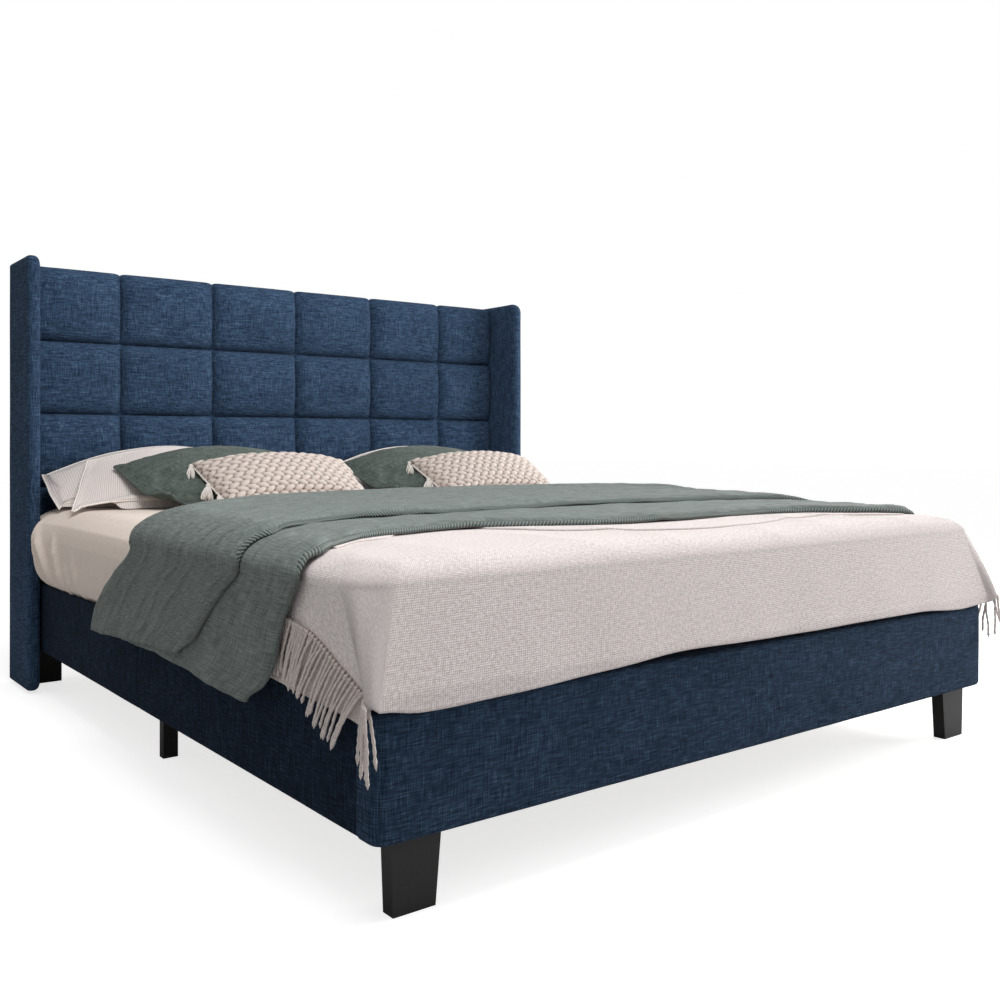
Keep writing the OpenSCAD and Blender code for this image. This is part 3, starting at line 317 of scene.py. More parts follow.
# Wings: a board in thin padding and the same linen, standing to the floor beside the headboard.
# Footboard: a timber core in padding and linen, its corners soft.
def padded_block(name, low, high, r, turn, through, cuts=30, band=0.36):
    """A block that is a rectangle with round corners through one axis, of radius turn at the
    front and a quarter of it at the back, its edges rounded to r: an evenly cut cube, its outer
    bands of squares pressed into the rounding."""
    low, high = Vector(low), Vector(high)
    middle, half = (low + high) / 2, (high - low) / 2
    i, j = [axis for axis in range(3) if axis != through]

    def along(t, size, outer):
        """Place along one side: the outer band of squares covers the last stretch."""
        if abs(t) <= 1 - band:
            return t / (1 - band) * (size - outer)
        return math.copysign(size - outer + (abs(t) - 1 + band) / band * outer, t)

    shape = bmesh.new()
    bmesh.ops.create_cube(shape, size=2)
    bmesh.ops.subdivide_edges(shape, edges=shape.edges, cuts=cuts, use_grid_fill=True)
    for point in shape.verts:
        t = point.co.copy()
        most = max(abs(t[i]), abs(t[j]), 1e-6)
        bend = turn if t.y < 0 else turn / 4
        rim = Vector((along(t[i] / most, half[i], bend), along(t[j] / most, half[j], bend)))
        corner = Vector((abs(rim.x) - half[i] + bend, abs(rim.y) - half[j] + bend))
        if min(corner) > 0:
            way = corner.normalized()
            pressed = way * max(corner)
            rim = Vector((math.copysign(half[i] - bend + pressed.x, rim.x),
                          math.copysign(half[j] - bend + pressed.y, rim.y)))
            way = Vector((math.copysign(way.x, rim.x), math.copysign(way.y, rim.y)))
        elif corner.x > corner.y:
            way = Vector((math.copysign(1, rim.x), 0))
        else:
            way = Vector((0, math.copysign(1, rim.y)))
        out = max(0, (most - 1 + band) / band) * r
        up = max(0, (abs(t[through]) - 1 + band) / band) * r
        if out > 0 and up > 0:
            squeeze = max(out, up) / (out ** 2.5 + up ** 2.5) ** 0.4
            out, up = out * squeeze, up * squeeze
        depth = r - out
        flat = rim - way * depth
        for axis, size in ((0, half[i]), (1, half[j])):
            # Where the corner is tighter than the rounding, its points meet in the inner corner
            flat[axis] = math.copysign(min(abs(flat[axis]), size - depth), flat[axis])
        if out == 0:
            flat = flat * most / (1 - band)
        level = min(abs(t[through]) / (1 - band), 1) * (half[through] - r) + up
        spot = Vector()
        spot[i], spot[j] = middle[i] + flat.x, middle[j] + flat.y
        spot[through] = middle[through] + math.copysign(level, t[through])
        push = Vector()
        push[i], push[j], push[through] = way.x * out, way.y * out, math.copysign(up, t[through])
        if push.length:
            spot += push.normalized() * 0.0009 * (noise.noise(spot * 6) - 1)
        point.co = spot
    bmesh.ops.remove_doubles(shape, verts=shape.verts, dist=0.0001)
    bmesh.ops.recalc_face_normals(shape, faces=shape.faces)
    return settle(name, shape)


for side in ("left", "right"):
    low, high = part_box(f"wing_cover_{side}")
    low.y -= 0.004
    wing = padded_block(f"wing_{side}", low, high, 0.0205, 0.042, 0)
    dress(wing, navy)
    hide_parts(f"wing_cover_{side}")

low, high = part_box("footboard_cover")
footboard = padded_block("footboard_pad", low, high, 0.019, 0.030, 2)
# The footboard's cloth is the headboard's linen, drawn a tone darker as painted shade
foot_navy_painted_shade = linen("linen-weave polyester, navy heather, footboard",
                  [(0.1, "#142030"), (0.5, "#28384c"), (0.75, "#35485d"), (1.0, "#4a5e74")],
                  0.0022, 0.032, 0.0007)
dress(footboard, foot_navy_painted_shade)
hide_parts("footboard_cover")


# Side rails: each section's board is wrapped in linen over a thin felt, stapled on the inside.
# The two sections meet in an upright seam at the middle leg. Their cloth is the headboard's
# linen, drawn much darker as painted shade for the side that faces away from the light.
navy_rail_painted_shade = linen("linen-weave polyester, navy, darkened as painted shade",
                  [(0.1, "#0b131d"), (0.5, "#162130"), (0.75, "#202e3f"), (1.0, "#314152")],
                  0.0022, 0.032, 0.0006)
felt_and_cloth = 0.003
return_depth = 0.040


def rail_profile(share, half_x, inner, low_z, high_z):
    """Round the wrap's section, from the lower inside edge, under, up and over the top."""
    r = 0.004
    corners = [(inner, low_z + return_depth), (inner, low_z), (half_x, low_z), (half_x, high_z),
               (inner, high_z), (inner, high_z - return_depth)]
    lengths = [math.dist(a, b) for a, b in zip(corners, corners[1:])]
    run = share * sum(lengths)
    for (a, b), length in zip(zip(corners, corners[1:]), lengths):
        if run <= length + 1e-9:
            x, z = a[0] + (b[0] - a[0]) * run / length, a[1] + (b[1] - a[1]) * run / length
            break
        run -= length
    core_x = min(max(x, inner + r), half_x - r)
    core_z = min(max(z, low_z + r), high_z - r)
    off = Vector((x - core_x, 0, z - core_z))
    if off.length > 0 and abs(off.x) > 1e-6 and abs(off.z) > 1e-6:
        off = off.normalized() * r
    return core_x + off.x, core_z + off.z


for side, sign in (("left", -1), ("right", 1)):
    for end in ("front", "rear"):
        low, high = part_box(f"rail_cover_{side}_{end}")
        outer = max(abs(low.x), abs(high.x)) - felt_and_cloth / 2
        inner = min(abs(low.x), abs(high.x)) + felt_and_cloth / 2
        low_z, high_z = low.z + felt_and_cloth / 2, high.z - felt_and_cloth / 2
        run = high.y - low.y
        ends = [0, 0.0015, 0.004, 0.009]
        marks = ends + [run * k / 40 for k in range(1, 40)] + [run - e for e in reversed(ends)]

        def rail_point(u, v):
            place = marks[round(v * (len(marks) - 1))]
            x, z = rail_profile(u, outer, inner, low_z, high_z)
            near = min(place, run - place)
            tuck = 0.0013 * max(0, 1 - near / 0.006) ** 2
            tuck += 0.0008 * (1 - noise.noise(Vector((place * 5, z * 7, sign))))
            if x > inner + 0.008:
                x -= tuck
            return Vector((sign * x, low.y + place, z))

        perimeter = 2 * return_depth + 2 * (outer - inner) + (high_z - low_z)
        wrap = mould(f"rail_wrap_{side}_{end}", 90, len(marks) - 1, rail_point,
                     cut=lambda u, v: (u * perimeter, v * run))
        thicken(wrap, felt_and_cloth)
        dress(wrap, navy_rail_painted_shade)
        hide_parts(f"rail_cover_{side}_{end}")


# Back of the headboard: dark non-woven dust cloth, stapled to the frame's timbers, slack
# between them.
low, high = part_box("headboard_back_cover")
back_w, back_h = high.x - low.x, high.z - low.z
timber = 0.060
mid_z = (low.z + high.z) / 2


def back_point(u, v):
    x, z = low.x + u * back_w, low.z + v * back_h
    gap_x = min(abs(x) - timber / 2, high.x - timber - abs(x))
    gap_z = min(abs(z - mid_z) - timber / 2, back_h / 2 - timber - abs(z - mid_z))
    gap = max(0, min(gap_x, gap_z))
    sag = 0.006 * (1 - math.exp(-gap / 0.09))
    pull = 0.0015 * noise.noise(Vector((x * 7, z * 7, 1.7))) * min(1, gap / 0.05)
    return Vector((x, high.y - 0.0008 - sag - pull, z))


back = mould("back_dust_cloth", 160, 100, back_point, cut=lambda u, v: (u * back_w, v * back_h))
thicken(back, 0.0012)
# Spun-bonded polypropylene: matte, pressed with a fine diamond of dots 2 mm apart
dust_cloth, tree, shader = finish("spun-bonded polypropylene, charcoal", 0.8)
spot = spot_in(tree, "UV")
dots = add(tree, "ShaderNodeTexVoronoi", {"Vector": spot, "Scale": 500.0}).outputs["Distance"]
tone = reckon(tree, "MULTIPLY_ADD", dots, 0.4, speckle(tree, spot, 60.0, 4.0))
coat(tree, shader, tone, [(0.3, "#17191c"), (0.9, "#2c2f34")], dots, 0.0004)
dress(back, dust_cloth)
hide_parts("headboard_back_cover")

# The cover's linen goes on over the top of the board and the frame to the back
top_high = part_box("headboard_frame")[1]
top_w, top_d = pad_high.x - pad_low.x - 0.002, top_high.y - pad_high.y - 0.0003


def top_point(u, v):
    slack = 0.0006 * noise.noise(Vector((u * 30, v * 2, 5.2)))
    return Vector((top_w * (u - 0.5), pad_high.y + 0.0003 + top_d * v, top_high.z + 0.0016 + slack))


over_top = mould("headboard_top_cloth", 160, 6, top_point, cut=lambda u, v: (u * top_w, v * top_d))
thicken(over_top, 0.0012)
dress(over_top, navy)

shape = bmesh.new()
places = []
step = 0.055
for level in (low.z + 0.03, mid_z, high.z - 0.03):
    places += [(low.x + 0.04 + k * step, level) for k in range(int((back_w - 0.08) / step) + 1)]
for upright in (low.x + 0.03, 0, high.x - 0.03):
    places += [(upright, low.z + 0.06 + k * step) for k in range(int((back_h - 0.1) / step) + 1)]
turns = random.Random(4)
for x, z in places:
    turn = Matrix.Rotation(turns.uniform(-0.25, 0.25) + (0.8 if abs(x) < 0.9 else 0.1), 4, "Y")
    spot = Matrix.Translation((x, high.y - 0.0002, z)) @ turn
    bmesh.ops.create_cube(shape, size=1, matrix=spot @ Matrix.Diagonal((0.011, 0.0009, 0.0012, 1)))
staples = settle("back_staples", shape, smooth=False)


# Timber: the boards are poplar plywood, the frame, ledges, core and slats are planed pine, and
# the legs are pine blocks painted black. Screws and glue hold them; the fabric hides most.
def timber_finish(name, dark, pale, lengthwise, roughness=0.6, depth=0.0003):
    """Planed softwood: growth lines about 4 mm apart that run the given way, and pores."""
    material, tree, shader = finish(name, roughness)
    spot = spot_in(tree, "Object")
    wide = [1.0 if axis == lengthwise else 14.0 for axis in "XYZ"]
    fine = [3.0 if axis == lengthwise else 260.0 for axis in "XYZ"]
    warp = speckle(tree, stretched(tree, spot, wide), 1.6, 3.0, Distortion=0.6)
    lines = reckon(tree, "FRACT", reckon(tree, "MULTIPLY", warp, 9.0))
    pores = speckle(tree, stretched(tree, spot, fine), 1.0, 4.0)
    tone = reckon(tree, "MULTIPLY_ADD", lines, 0.35, pores)
    coat(tree, shader, tone, [(0.3, dark), (0.95, pale)], tone, depth)
    return material


def repaint(material, *names):
    """Gives CAD pieces that stay as they are their real finish."""
    for name in names:
        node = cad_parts[name]
        node.data.materials.clear()
        node.data.materials.append(material)


repaint(timber_finish("poplar plywood, sanded", "#b08f62", "#d9bf92", "X"), "headboard_board")
repaint(timber_finish("poplar plywood, sanded, lengthwise", "#b08f62", "#d9bf92", "Y"),
        "rail_board_left_front", "rail_board_left_rear", "rail_board_right_front",
        "rail_board_right_rear")
repaint(timber_finish("poplar plywood, sanded, upright", "#b08f62", "#d9bf92", "Z"),
        "wing_board_left", "wing_board_right")
repaint(timber_finish("pine, planed", "#c09a62", "#e6cf9f", "X"),
        "slats", "headboard_frame", "footboard_core")
repaint(timber_finish("pine, planed, lengthwise", "#c09a62", "#e6cf9f", "Y"), "slat_ledges")
# Satin black paint on pine: grain shows only as a faint relief
repaint(timber_finish("pine, painted satin black", "#0b0b0b", "#141414", "Z", 0.5, 0.0002),
        "front_leg_left", "front_leg_right", "side_leg_left", "side_leg_right",
        "headboard_leg_left", "headboard_leg_right")


# Metal and small parts: zinc-plated brackets and bolts, brass inserts, a black powder-coated
# centre beam on three legs with rubber feet, and webbing that spaces the slats.
def metal(name, dark, pale, roughness, grain, depth, metallic=1.0):
    """Metal or coating with a fine even grain, its size in metres."""
    material, tree, shader = finish(name, roughness, Metallic=metallic)
    tone = speckle(tree, spot_in(tree, "Object"), 1 / grain, 3.0)
    coat(tree, shader, tone, [(0.3, dark), (0.7, pale)], tone, depth)
    return material


zinc = metal("steel, zinc plated", "#8b8f94", "#b4b8bd", 0.38, 0.006, 0.00005)
repaint(zinc, "corner_brackets", "joining_angles")
repaint(metal("steel, zinc plated, turned", "#7c8085", "#a3a7ac", 0.32, 0.003, 0.00004),
        "frame_bolts", "level_stem_front", "level_stem_middle", "level_stem_rear")
repaint(metal("brass, turned", "#a3853f", "#c9a75c", 0.35, 0.003, 0.00004), "threaded_inserts")
repaint(metal("powder coat, black, fine texture", "#141416", "#222326", 0.55, 0.0012, 0.00015, 0.0),
        "centre_beam_front", "centre_beam_rear", "centre_beam_sleeve", "beam_hangers",
        "centre_leg_front", "centre_leg_middle", "centre_leg_rear")
repaint(metal("moulded rubber, black", "#101010", "#1c1c1c", 0.85, 0.002, 0.0001, 0.0),
        "foot_pad_front", "foot_pad_middle", "foot_pad_rear")
dress(staples, zinc)

# Polypropylene webbing: ribbed across every 2 mm
webbing, tree, shader = finish("polypropylene webbing, black", 0.6)
ribs = stripes(tree, spot_in(tree, "Object"), 0.002, "Y", Distortion=0.4, Detail=1.0)
coat(tree, shader, ribs, [(0.0, "#16171a"), (1.0, "#34363b")], ribs, 0.0004)
repaint(webbing, "slat_straps")


# Mattress in white ticking, and over it a fitted cotton sheet, stretched, with its hem tucked
# under. The mattress swells over the rails and draws in between the wings.
low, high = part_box("mattress")
board_half = 0.962
swell = 0.039
foot_swell = 0.033
wing_half = 0.9895
wing_front = 0.8673
neck_start, neck_end = 0.018, 0.003
# Creases in the sheet by the head corners: start, lean towards the foot, width, strength, and
# how far below the top they begin
head_creases = [(0.835, 0.30, 0.011, 1.1, 0.00), (0.830, 0.62, 0.012, 1.4, 0.03),
                (0.775, 0.66, 0.010, 1.0, 0.10), (0.715, 0.50, 0.012, 1.3, 0.05),
                (0.640, 0.42, 0.010, 0.9, 0.13), (0.545, 0.36, 0.012, 0.8, 0.09)]
side_shape = [(0, 0, 0.018), (0.03, 0, 0.002), (0.19, 0, 0), (0.25, 0.5, 0), (0.36, 0.88, 0),
              (0.52, 1, 0), (0.7, 1, 0), (0.87, 0.78, 0.004), (0.95, 0.42, 0.02),
              (0.99, 0.05, 0.033), (1.0, 0, 0.062)]


def follow(points, place):
    """Smooth value at a place on a line of (place, value) points, ends held."""
    if place <= points[0][0]:
        return points[0][1]
    for i in range(len(points) - 1):
        (a, p), (b, q) = points[i:i + 2]
        if place <= b:
            t, h = (place - a) / (b - a), b - a
            leave = (q - points[i - 1][1]) / (b - points[i - 1][0]) if i else 0.0
            arrive = (points[i + 2][1] - p) / (points[i + 2][0] - a) if i + 2 < len(points) else 0.0
            return (p * (1 - t) ** 2 * (1 + 2 * t) + q * t * t * (3 - 2 * t)
                    + h * leave * t * (1 - t) ** 2 + h * arrive * t * t * (t - 1))
    return points[-1][1]


def straight(points, place):
    """The same with straight lines between the points."""
    for (a, p), (b, q) in zip(points, points[1:]):
        if place <= b:
            return p + (q - p) * max(0, place - a) / (b - a)
    return points[-1][1]


def body_point(cube, grow, crease):
    """Where a point of a cut cube lies on the mattress's body, grown outwards."""
    share = (cube.z + 1) / 2
    out = follow([(s, w) for s, w, d in side_shape], share)
    draw = straight([(s, d) for s, w, d in side_shape], share)
    half = board_half + out * swell - draw
    y0 = low.y + foot_swell - out * foot_swell * (0.75 if share < 0.5 else 1) + draw
    y1 = high.y - draw
    squeeze = [min(max(c, -1), 1) for c in cube]
    y = (y0 + y1) / 2 + squeeze[1] * (y1 - y0) / 2
    neck = min(1, max(0, (y - (wing_front - neck_start)) / (neck_start - neck_end)))
    if crease:
        half += 0.020 * out * math.exp(-((y - 0.81) / 0.10) ** 2)
    half = half + (min(half, wing_half) - half) * neck + grow
    y0, y1 = y0 - grow, y1 + grow
    x, y = squeeze[0] * half, (y0 + y1) / 2 + squeeze[1] * (y1 - y0) / 2
    r = 0.062 + grow
    core = Vector((min(max(x, r - half), half - r), min(max(y, y0 + r), y1 - r)))
    off = Vector((x, y)) - core
    if off.length > 1e-9:
        off = off * (max(abs(off.x), abs(off.y)) / off.length)
    z = low.z + share * (high.z - low.z) + (grow if share > 0.999 else 0)
    point = Vector((core.x + off.x, core.y + off.y, z))
    if crease:
        # Folds run down from the head corner and lean towards the foot, and fade along the side
        down = max(0, 0.58 - point.z)
        ridge = sum(strength * math.exp(-((point.y - start + lean * down) / wide) ** 2)
                    * min(1, max(0, down - begin) / 0.06)
                    for start, lean, wide, strength, begin in head_creases)
        soft = 0.5 + 0.5 * noise.noise(Vector((point.x * 2, point.y * 5, down * 6)))
        rise = crease * (ridge + 0.3 * soft * min(1, down / 0.05))
        if share > 0.97:
            point.z += 0.25 * rise
        else:
            # The head side lies smooth against the headboard
            way = Vector((off.x, off.y, 0)).normalized()
            point += way * rise * (1 - max(0, way.y))
    return point


def bed_body(name, cuts, grow, crease, open_under):
    shape = bmesh.new()
    bmesh.ops.create_cube(shape, size=2)
    bmesh.ops.subdivide_edges(shape, edges=shape.edges, cuts=cuts, use_grid_fill=True)
    if open_under:
        under = [f for f in shape.faces if all(v.co.z < -0.93 for v in f.verts)]
        bmesh.ops.delete(shape, geom=under, context="FACES")
    cloth = shape.loops.layers.uv.new("cut")
    for face in shape.faces:
        for corner in face.loops:
            p = corner.vert.co
            if abs(face.normal.z) > 0.5:
                corner[cloth].uv = (p.x, p.y)
            else:
                corner[cloth].uv = (p.y if abs(face.normal.x) > 0.5 else p.x, p.z * 0.15)
    for point in shape.verts:
        cube = point.co.copy()
        # The cuts lie closer together towards the head end
        cube.y += 0.4125 * (1 - cube.y ** 2)
        point.co = body_point(cube, grow, crease)
    return settle(name, shape)


# Damask ticking: white viscose and polyester, quilted in 60 mm waves
ticking, tree, shader = finish("knitted ticking, white", 0.8, Sheen_Weight=0.2)
quilt = stripes(tree, spot_in(tree, "Object"), 0.06, Distortion=3.0)
coat(tree, shader, quilt, [(0.0, "#d8d2ca"), (0.3, "#f0ece6")], quilt, 0.004)
mattress = bed_body("mattress_body", 22, 0.0, 0.0, False)
dress(mattress, ticking, "mattress")
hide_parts("mattress")


def plain_cloth(name, dark, pale, pitch, depth, sheen=0.1, blotch=0.5):
    """Plain-weave cotton on its own cut: fine threads both ways and soft clouding."""
    material, tree, shader = finish(name, 0.85, Sheen_Weight=sheen, Specular_IOR_Level=0.2)
    spot = spot_in(tree, "UV")
    long = 14 * pitch
    both = reckon(tree, "ADD", speckle(tree, stretched(tree, spot, (1 / pitch, 1 / long, 1))),
                  speckle(tree, stretched(tree, spot, (1 / long, 1 / pitch, 1))))
    tone = reckon(tree, "MULTIPLY_ADD", speckle(tree, spot, 9.0, 3.0), blotch, both)
    coat(tree, shader, tone, [(0.9, dark), (1.6, pale)], both, depth)
    return material


sheet_cotton = plain_cloth("cotton percale, ecru", "#d3c3b7", "#e3d5ca", 0.0016, 0.0002,
                           blotch=0.2)
sheet_cloth = bed_body("sheet_fitted", 95, 0.0018, 0.016, True)
thicken(sheet_cloth, 0.0014, -1)
soft = sheet_cloth.modifiers.new("smooth", "SUBSURF")
soft.levels = soft.render_levels = 1
dress(sheet_cloth, sheet_cotton, "mattress")
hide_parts("fitted_sheet")


# Pillows and cushions: two panels sewn together on one seam and stuffed. The two white ones a
# side have a piped seam, the green one a sewn flange, the knitted one cord and tassels.
# They are blown up by a cloth simulation, and lie back on one another.
sheet_top = 0.5921
headboard_front = pad_low.y


def panel_point(u, v, w, h, crown, taper, waist_x=-0.01, waist_z=0.045):
    """A point of one panel before it is stuffed; u and v run from -1 to 1. The upper edge is
    narrower by the taper."""
    full = (1 - abs(u) ** 3) ** 0.6 * (1 - abs(v) ** 2.4) ** 0.6
    return Vector((w / 2 * u * (1 - waist_x * (1 - v * v)) * (1 - taper * (1 + v) / 2),
                   crown * full, h / 2 * v * (1 - waist_z * (1 - u * u))))


def stuffed(name, w, h, front, back, taper, across, up):
    """Both panels in one closed mesh, standing upright round the origin, with the cut in UV."""
    shape = bmesh.new()
    for crown in (-front, back):
        before = set(shape.verts)
        bmesh.ops.create_grid(shape, x_segments=across, y_segments=up, size=1)
        for point in set(shape.verts) - before:
            u, v = (math.sin(math.pi / 2 * c) for c in point.co.xy)
            point.co = Vector((u, v, crown))
    cloth = shape.loops.layers.uv.new("cut")
    for face in shape.faces:
        for corner in face.loops:
            p = corner.vert.co
            corner[cloth].uv = (p.x * w / 2, p.y * h / 2)
    edge = shape.verts.layers.float.new("seam")
    for point in shape.verts:
        u, v, crown = point.co
        point[edge] = 1.0 if max(abs(u), abs(v)) > 0.9999 else 0.0
        point.co = panel_point(u, v, w, h, crown, taper)
    bmesh.ops.remove_doubles(shape, verts=shape.verts, dist=0.00001)
    bmesh.ops.recalc_face_normals(shape, faces=shape.faces)
    return settle(name, shape)


def leant(w, h, front, back, tilt, x, reach, taper):
    """The turn and shift that lays an upright pillow in its place, its lower side on the sheet."""
    lean = math.radians(tilt)
    lowest = 0
    for crown in (-front, back):
        for i in range(-20, 21):
            for j in range(-20, 21):
                p = panel_point(i / 20, j / 20, w, h, crown, taper)
                lowest = min(lowest, -p.y * math.cos(lean) + p.z * math.sin(lean))
    y = headboard_front - reach + h / 2 * math.cos(lean)
    z = sheet_top + 0.0003 - lowest
    return Matrix.Translation((x, y, z)) @ Matrix.Rotation(lean - math.pi / 2, 4, "X")


def sunk(p, x, w, whole, ends):
    """Where a point goes as the pillow sinks towards the sheet, most at its ends."""
    over = max(0, p.z - sheet_top)
    return Vector((p.x, p.y, p.z - over * (whole + ends * ((p.x - x) / (w / 2)) ** 2)))


# Each row: node and body, width, height, front crown, back crown, lean, place across, reach,
# share that the whole sinks, share that the ends sink, share that the upper edge is narrower
pillow_rows = []
for side, sign in (("left", -1), ("right", 1)):
    knit_x = -0.300 if side == "left" else 0.560
    pillow_rows += [
        (f"white_pillow_back_{side}", 0.890, 0.300, 0.042, 0.044, 50, sign * 0.5295, 0.212,
         0.08, 0.5, 0.0),
        (f"white_pillow_front_{side}", 0.890, 0.330, 0.044, 0.030, 42, sign * 0.5295, 0.352,
         0.08, 0.5, 0.28),
        (f"green_pillow_{side}", 0.640, 0.340, 0.042, 0.022, 38, sign * 0.425, 0.478,
         0.0, 0.3, -0.163),
        (f"knit_cushion_{side}", 0.525, 0.300, 0.042, 0.018, 36, knit_x, 0.596,
         0.0, 0.18, -0.143)]

pillows = {}
for node, w, h, front, back, tilt, x, reach, whole, ends, taper in pillow_rows:
    across, up = (112, 56) if node.startswith("knit") else (72, 36)
    pillows[node] = stuffed(node + "_stuffed", w, h, front * 0.93, back * 0.9, taper, across, up)

flat_before = {}
for node, piece in pillows.items():
    flat_before[node] = [point.co.copy() for point in piece.data.vertices]
    blow = piece.modifiers.new("blow up", "CLOTH")
    blow.settings.quality = 5
    blow.settings.mass = 0.15
    blow.settings.tension_stiffness = 12
    blow.settings.compression_stiffness = 12
    blow.settings.bending_stiffness = 0.6
    blow.settings.use_pressure = True
    blow.settings.uniform_pressure_force = 4
    blow.settings.shrink_min = -0.03
    blow.settings.effector_weights.gravity = 0
    blow.collision_settings.use_collision = False
    blow.point_cache.frame_end = 20
for moment in range(1, 21):
    bpy.context.scene.frame_set(moment)
ready = bpy.context.evaluated_depsgraph_get()
blown = {node: [point.co.copy() for point in piece.evaluated_get(ready).data.vertices]
         for node, piece in pillows.items()}
for node, piece in pillows.items():
    piece.modifiers.clear()
    for point, was, now in zip(piece.data.vertices, flat_before[node], blown[node]):
        move = now - was
        point.co = was + move * min(1, 0.014 / max(move.length, 1e-9))
bpy.context.scene.frame_set(1)


def seam_line(piece, x):
    """The seam's points in order round a pillow that lies in its place."""
    marks = piece.data.attributes["seam"].data
    edge = {i for i, mark in enumerate(marks) if mark.value > 0.5}
    beside = {i: [] for i in edge}
    for a, b in (tuple(e.vertices) for e in piece.data.edges):
        if a in edge and b in edge:
            beside[a].append(b)
            beside[b].append(a)
    order = [min(edge)]
    while len(order) < len(edge):
        order.append(next(i for i in beside[order[-1]] if i not in order[-2:]))
    return [piece.data.vertices[i].co.copy() for i in order]


def tube(name, points, radius, sides=8, closed=False, twist=0.0, lobes=0.0, swell=None):
    """A cord along points: a grid rolled up round the line. Lobes make it a two-ply twist."""
    count = len(points)
    frames = []
    side_way = Vector((0, 1, 0))
    lengths = [0.0]
    for i, point in enumerate(points):
        before = points[i - 1] if i or closed else points[0]
        after = points[(i + 1) % count] if i + 1 < count or closed else points[-1]
        way = (after - before).normalized()
        side_way = (side_way - way * side_way.dot(way))
        if side_way.length < 1e-4:
            side_way = way.orthogonal()
        side_way.normalize()
        frames.append((point, side_way.copy(), way.cross(side_way)))
        if i + 1 < count:
            lengths.append(lengths[-1] + (points[i + 1] - point).length)
    if closed:
        frames.append(frames[0])
        lengths.append(lengths[-1] + (points[0] - points[-1]).length)

    def wall(u, v):
        i = round(v * (len(frames) - 1))
        point, one, other = frames[i]
        angle = 2 * math.pi * u
        r = radius * (1 + lobes * math.cos(2 * angle - twist * lengths[i]))
        if swell:
            r *= swell(lengths[i], lengths[-1], angle)
        return point + (one * math.cos(angle) + other * math.sin(angle)) * r

    def cut(u, v):
        return (u * 2 * math.pi * radius, lengths[round(v * (len(frames) - 1))])

    return mould(name, sides, len(frames) - 1, wall, cut, join=0.00002)


# White cotton with pinstripes 7.5 mm apart, woven up the pillow, and a soft satin face
striped, tree, shader = finish("cotton sateen, white with taupe pinstripes", 0.7, Sheen_Weight=0.2)
spot = spot_in(tree, "UV")
tone = reckon(tree, "MULTIPLY_ADD", speckle(tree, spot, 420.0), 0.25, stripes(tree, spot, 0.0075))
coat(tree, shader, tone, [(0.08, "#b9aca6"), (0.34, "#d6ccc8"), (0.5, "#e0d7d3")], tone, 0.0004)


# Green stonewashed linen: a slubbed weave that has creased in the wash
def washed_linen(name, stops, pitch=0.0022, streak=0.03, crush=0.0016, depth=0.0007):
    material, tree, shader = finish(name, 0.9, Sheen_Weight=0.1, Specular_IOR_Level=0.12)
    spot = spot_in(tree, "UV")
    slubs = speckle(tree, stretched(tree, spot, (1 / streak, 1 / pitch, 1)), 1.0, 3.0)
    warp = speckle(tree, stretched(tree, spot, (1 / pitch, 1 / streak, 1)))
    both = reckon(tree, "ADD", slubs, warp)
    crumple = speckle(tree, stretched(tree, spot, (14, 40, 1)), 1.0, 4.0, Distortion=0.8)
    tone = add(tree, "ShaderNodeMapRange", {
        "Value": reckon(tree, "MULTIPLY_ADD", crumple, 0.5, both), "From Min": 0.85,
        "From Max": 1.65}).outputs["Result"]
    coat(tree, shader, tone, stops)
    folds = add(tree, "ShaderNodeBump", {
        "Height": crumple, "Distance": crush * 4, "Strength": 0.8}).outputs["Normal"]
    weave = add(tree, "ShaderNodeBump", {"Height": both, "Distance": depth, "Normal": folds})
    tree.links.new(weave.outputs["Normal"], shader.inputs["Normal"])
    return material


green_linen = washed_linen("stonewashed linen, sage green", [
    (0.0, "#353d39"), (0.45, "#4d5651"), (0.8, "#636d67"), (1.0, "#7d8680")])
cord_cotton = plain_cloth("cotton piping, white", "#cfc4bb", "#efe8e1", 0.001, 0.0002)

# Creases pressed into the green pillows' ends, as places on the cut measured from the middle
green_creases = [[(-0.255, -0.115), (-0.262, -0.050), (-0.215, -0.005)],
                 [(-0.205, -0.080), (-0.155, -0.045), (-0.095, -0.04)]]


def off_line(spot, line):
    """Distance of a place on the cut from a line of points."""
    best = 1.0
    for a, b in zip(line, line[1:]):
        a, b = Vector(a), Vector(b)
        t = min(1, max(0, (spot - a).dot(b - a) / (b - a).length_squared))
        best = min(best, (spot - a.lerp(b, t)).length)
    return best


def rested(points, x, w):
    """Lets a pillow down on the sheet all along: each stretch of it sinks until its lowest
    point lies there, its top hardly."""
    bins = 24
    lows = [9.0] * (bins + 2)
    places = [min(max((p.x - x) / w + 0.5, 0), 1) * bins for p in points]
    for p, place in zip(points, places):
        for i in (int(place), int(place) + 1):
            lows[i] = min(lows[i], p.z)
    lows[-1] = lows[-2]
    for i in range(1, bins):
        lows[i] = min(lows[i], (lows[i - 1] + lows[i + 1]) / 2)
    for p, place in zip(points, places):
        i, share = int(place), place % 1
        gap = lows[i] * (1 - share) + lows[i + 1] * share - sheet_top - 0.0006
        p.z -= gap * max(0, 1 - (p.z - sheet_top) / 0.17)


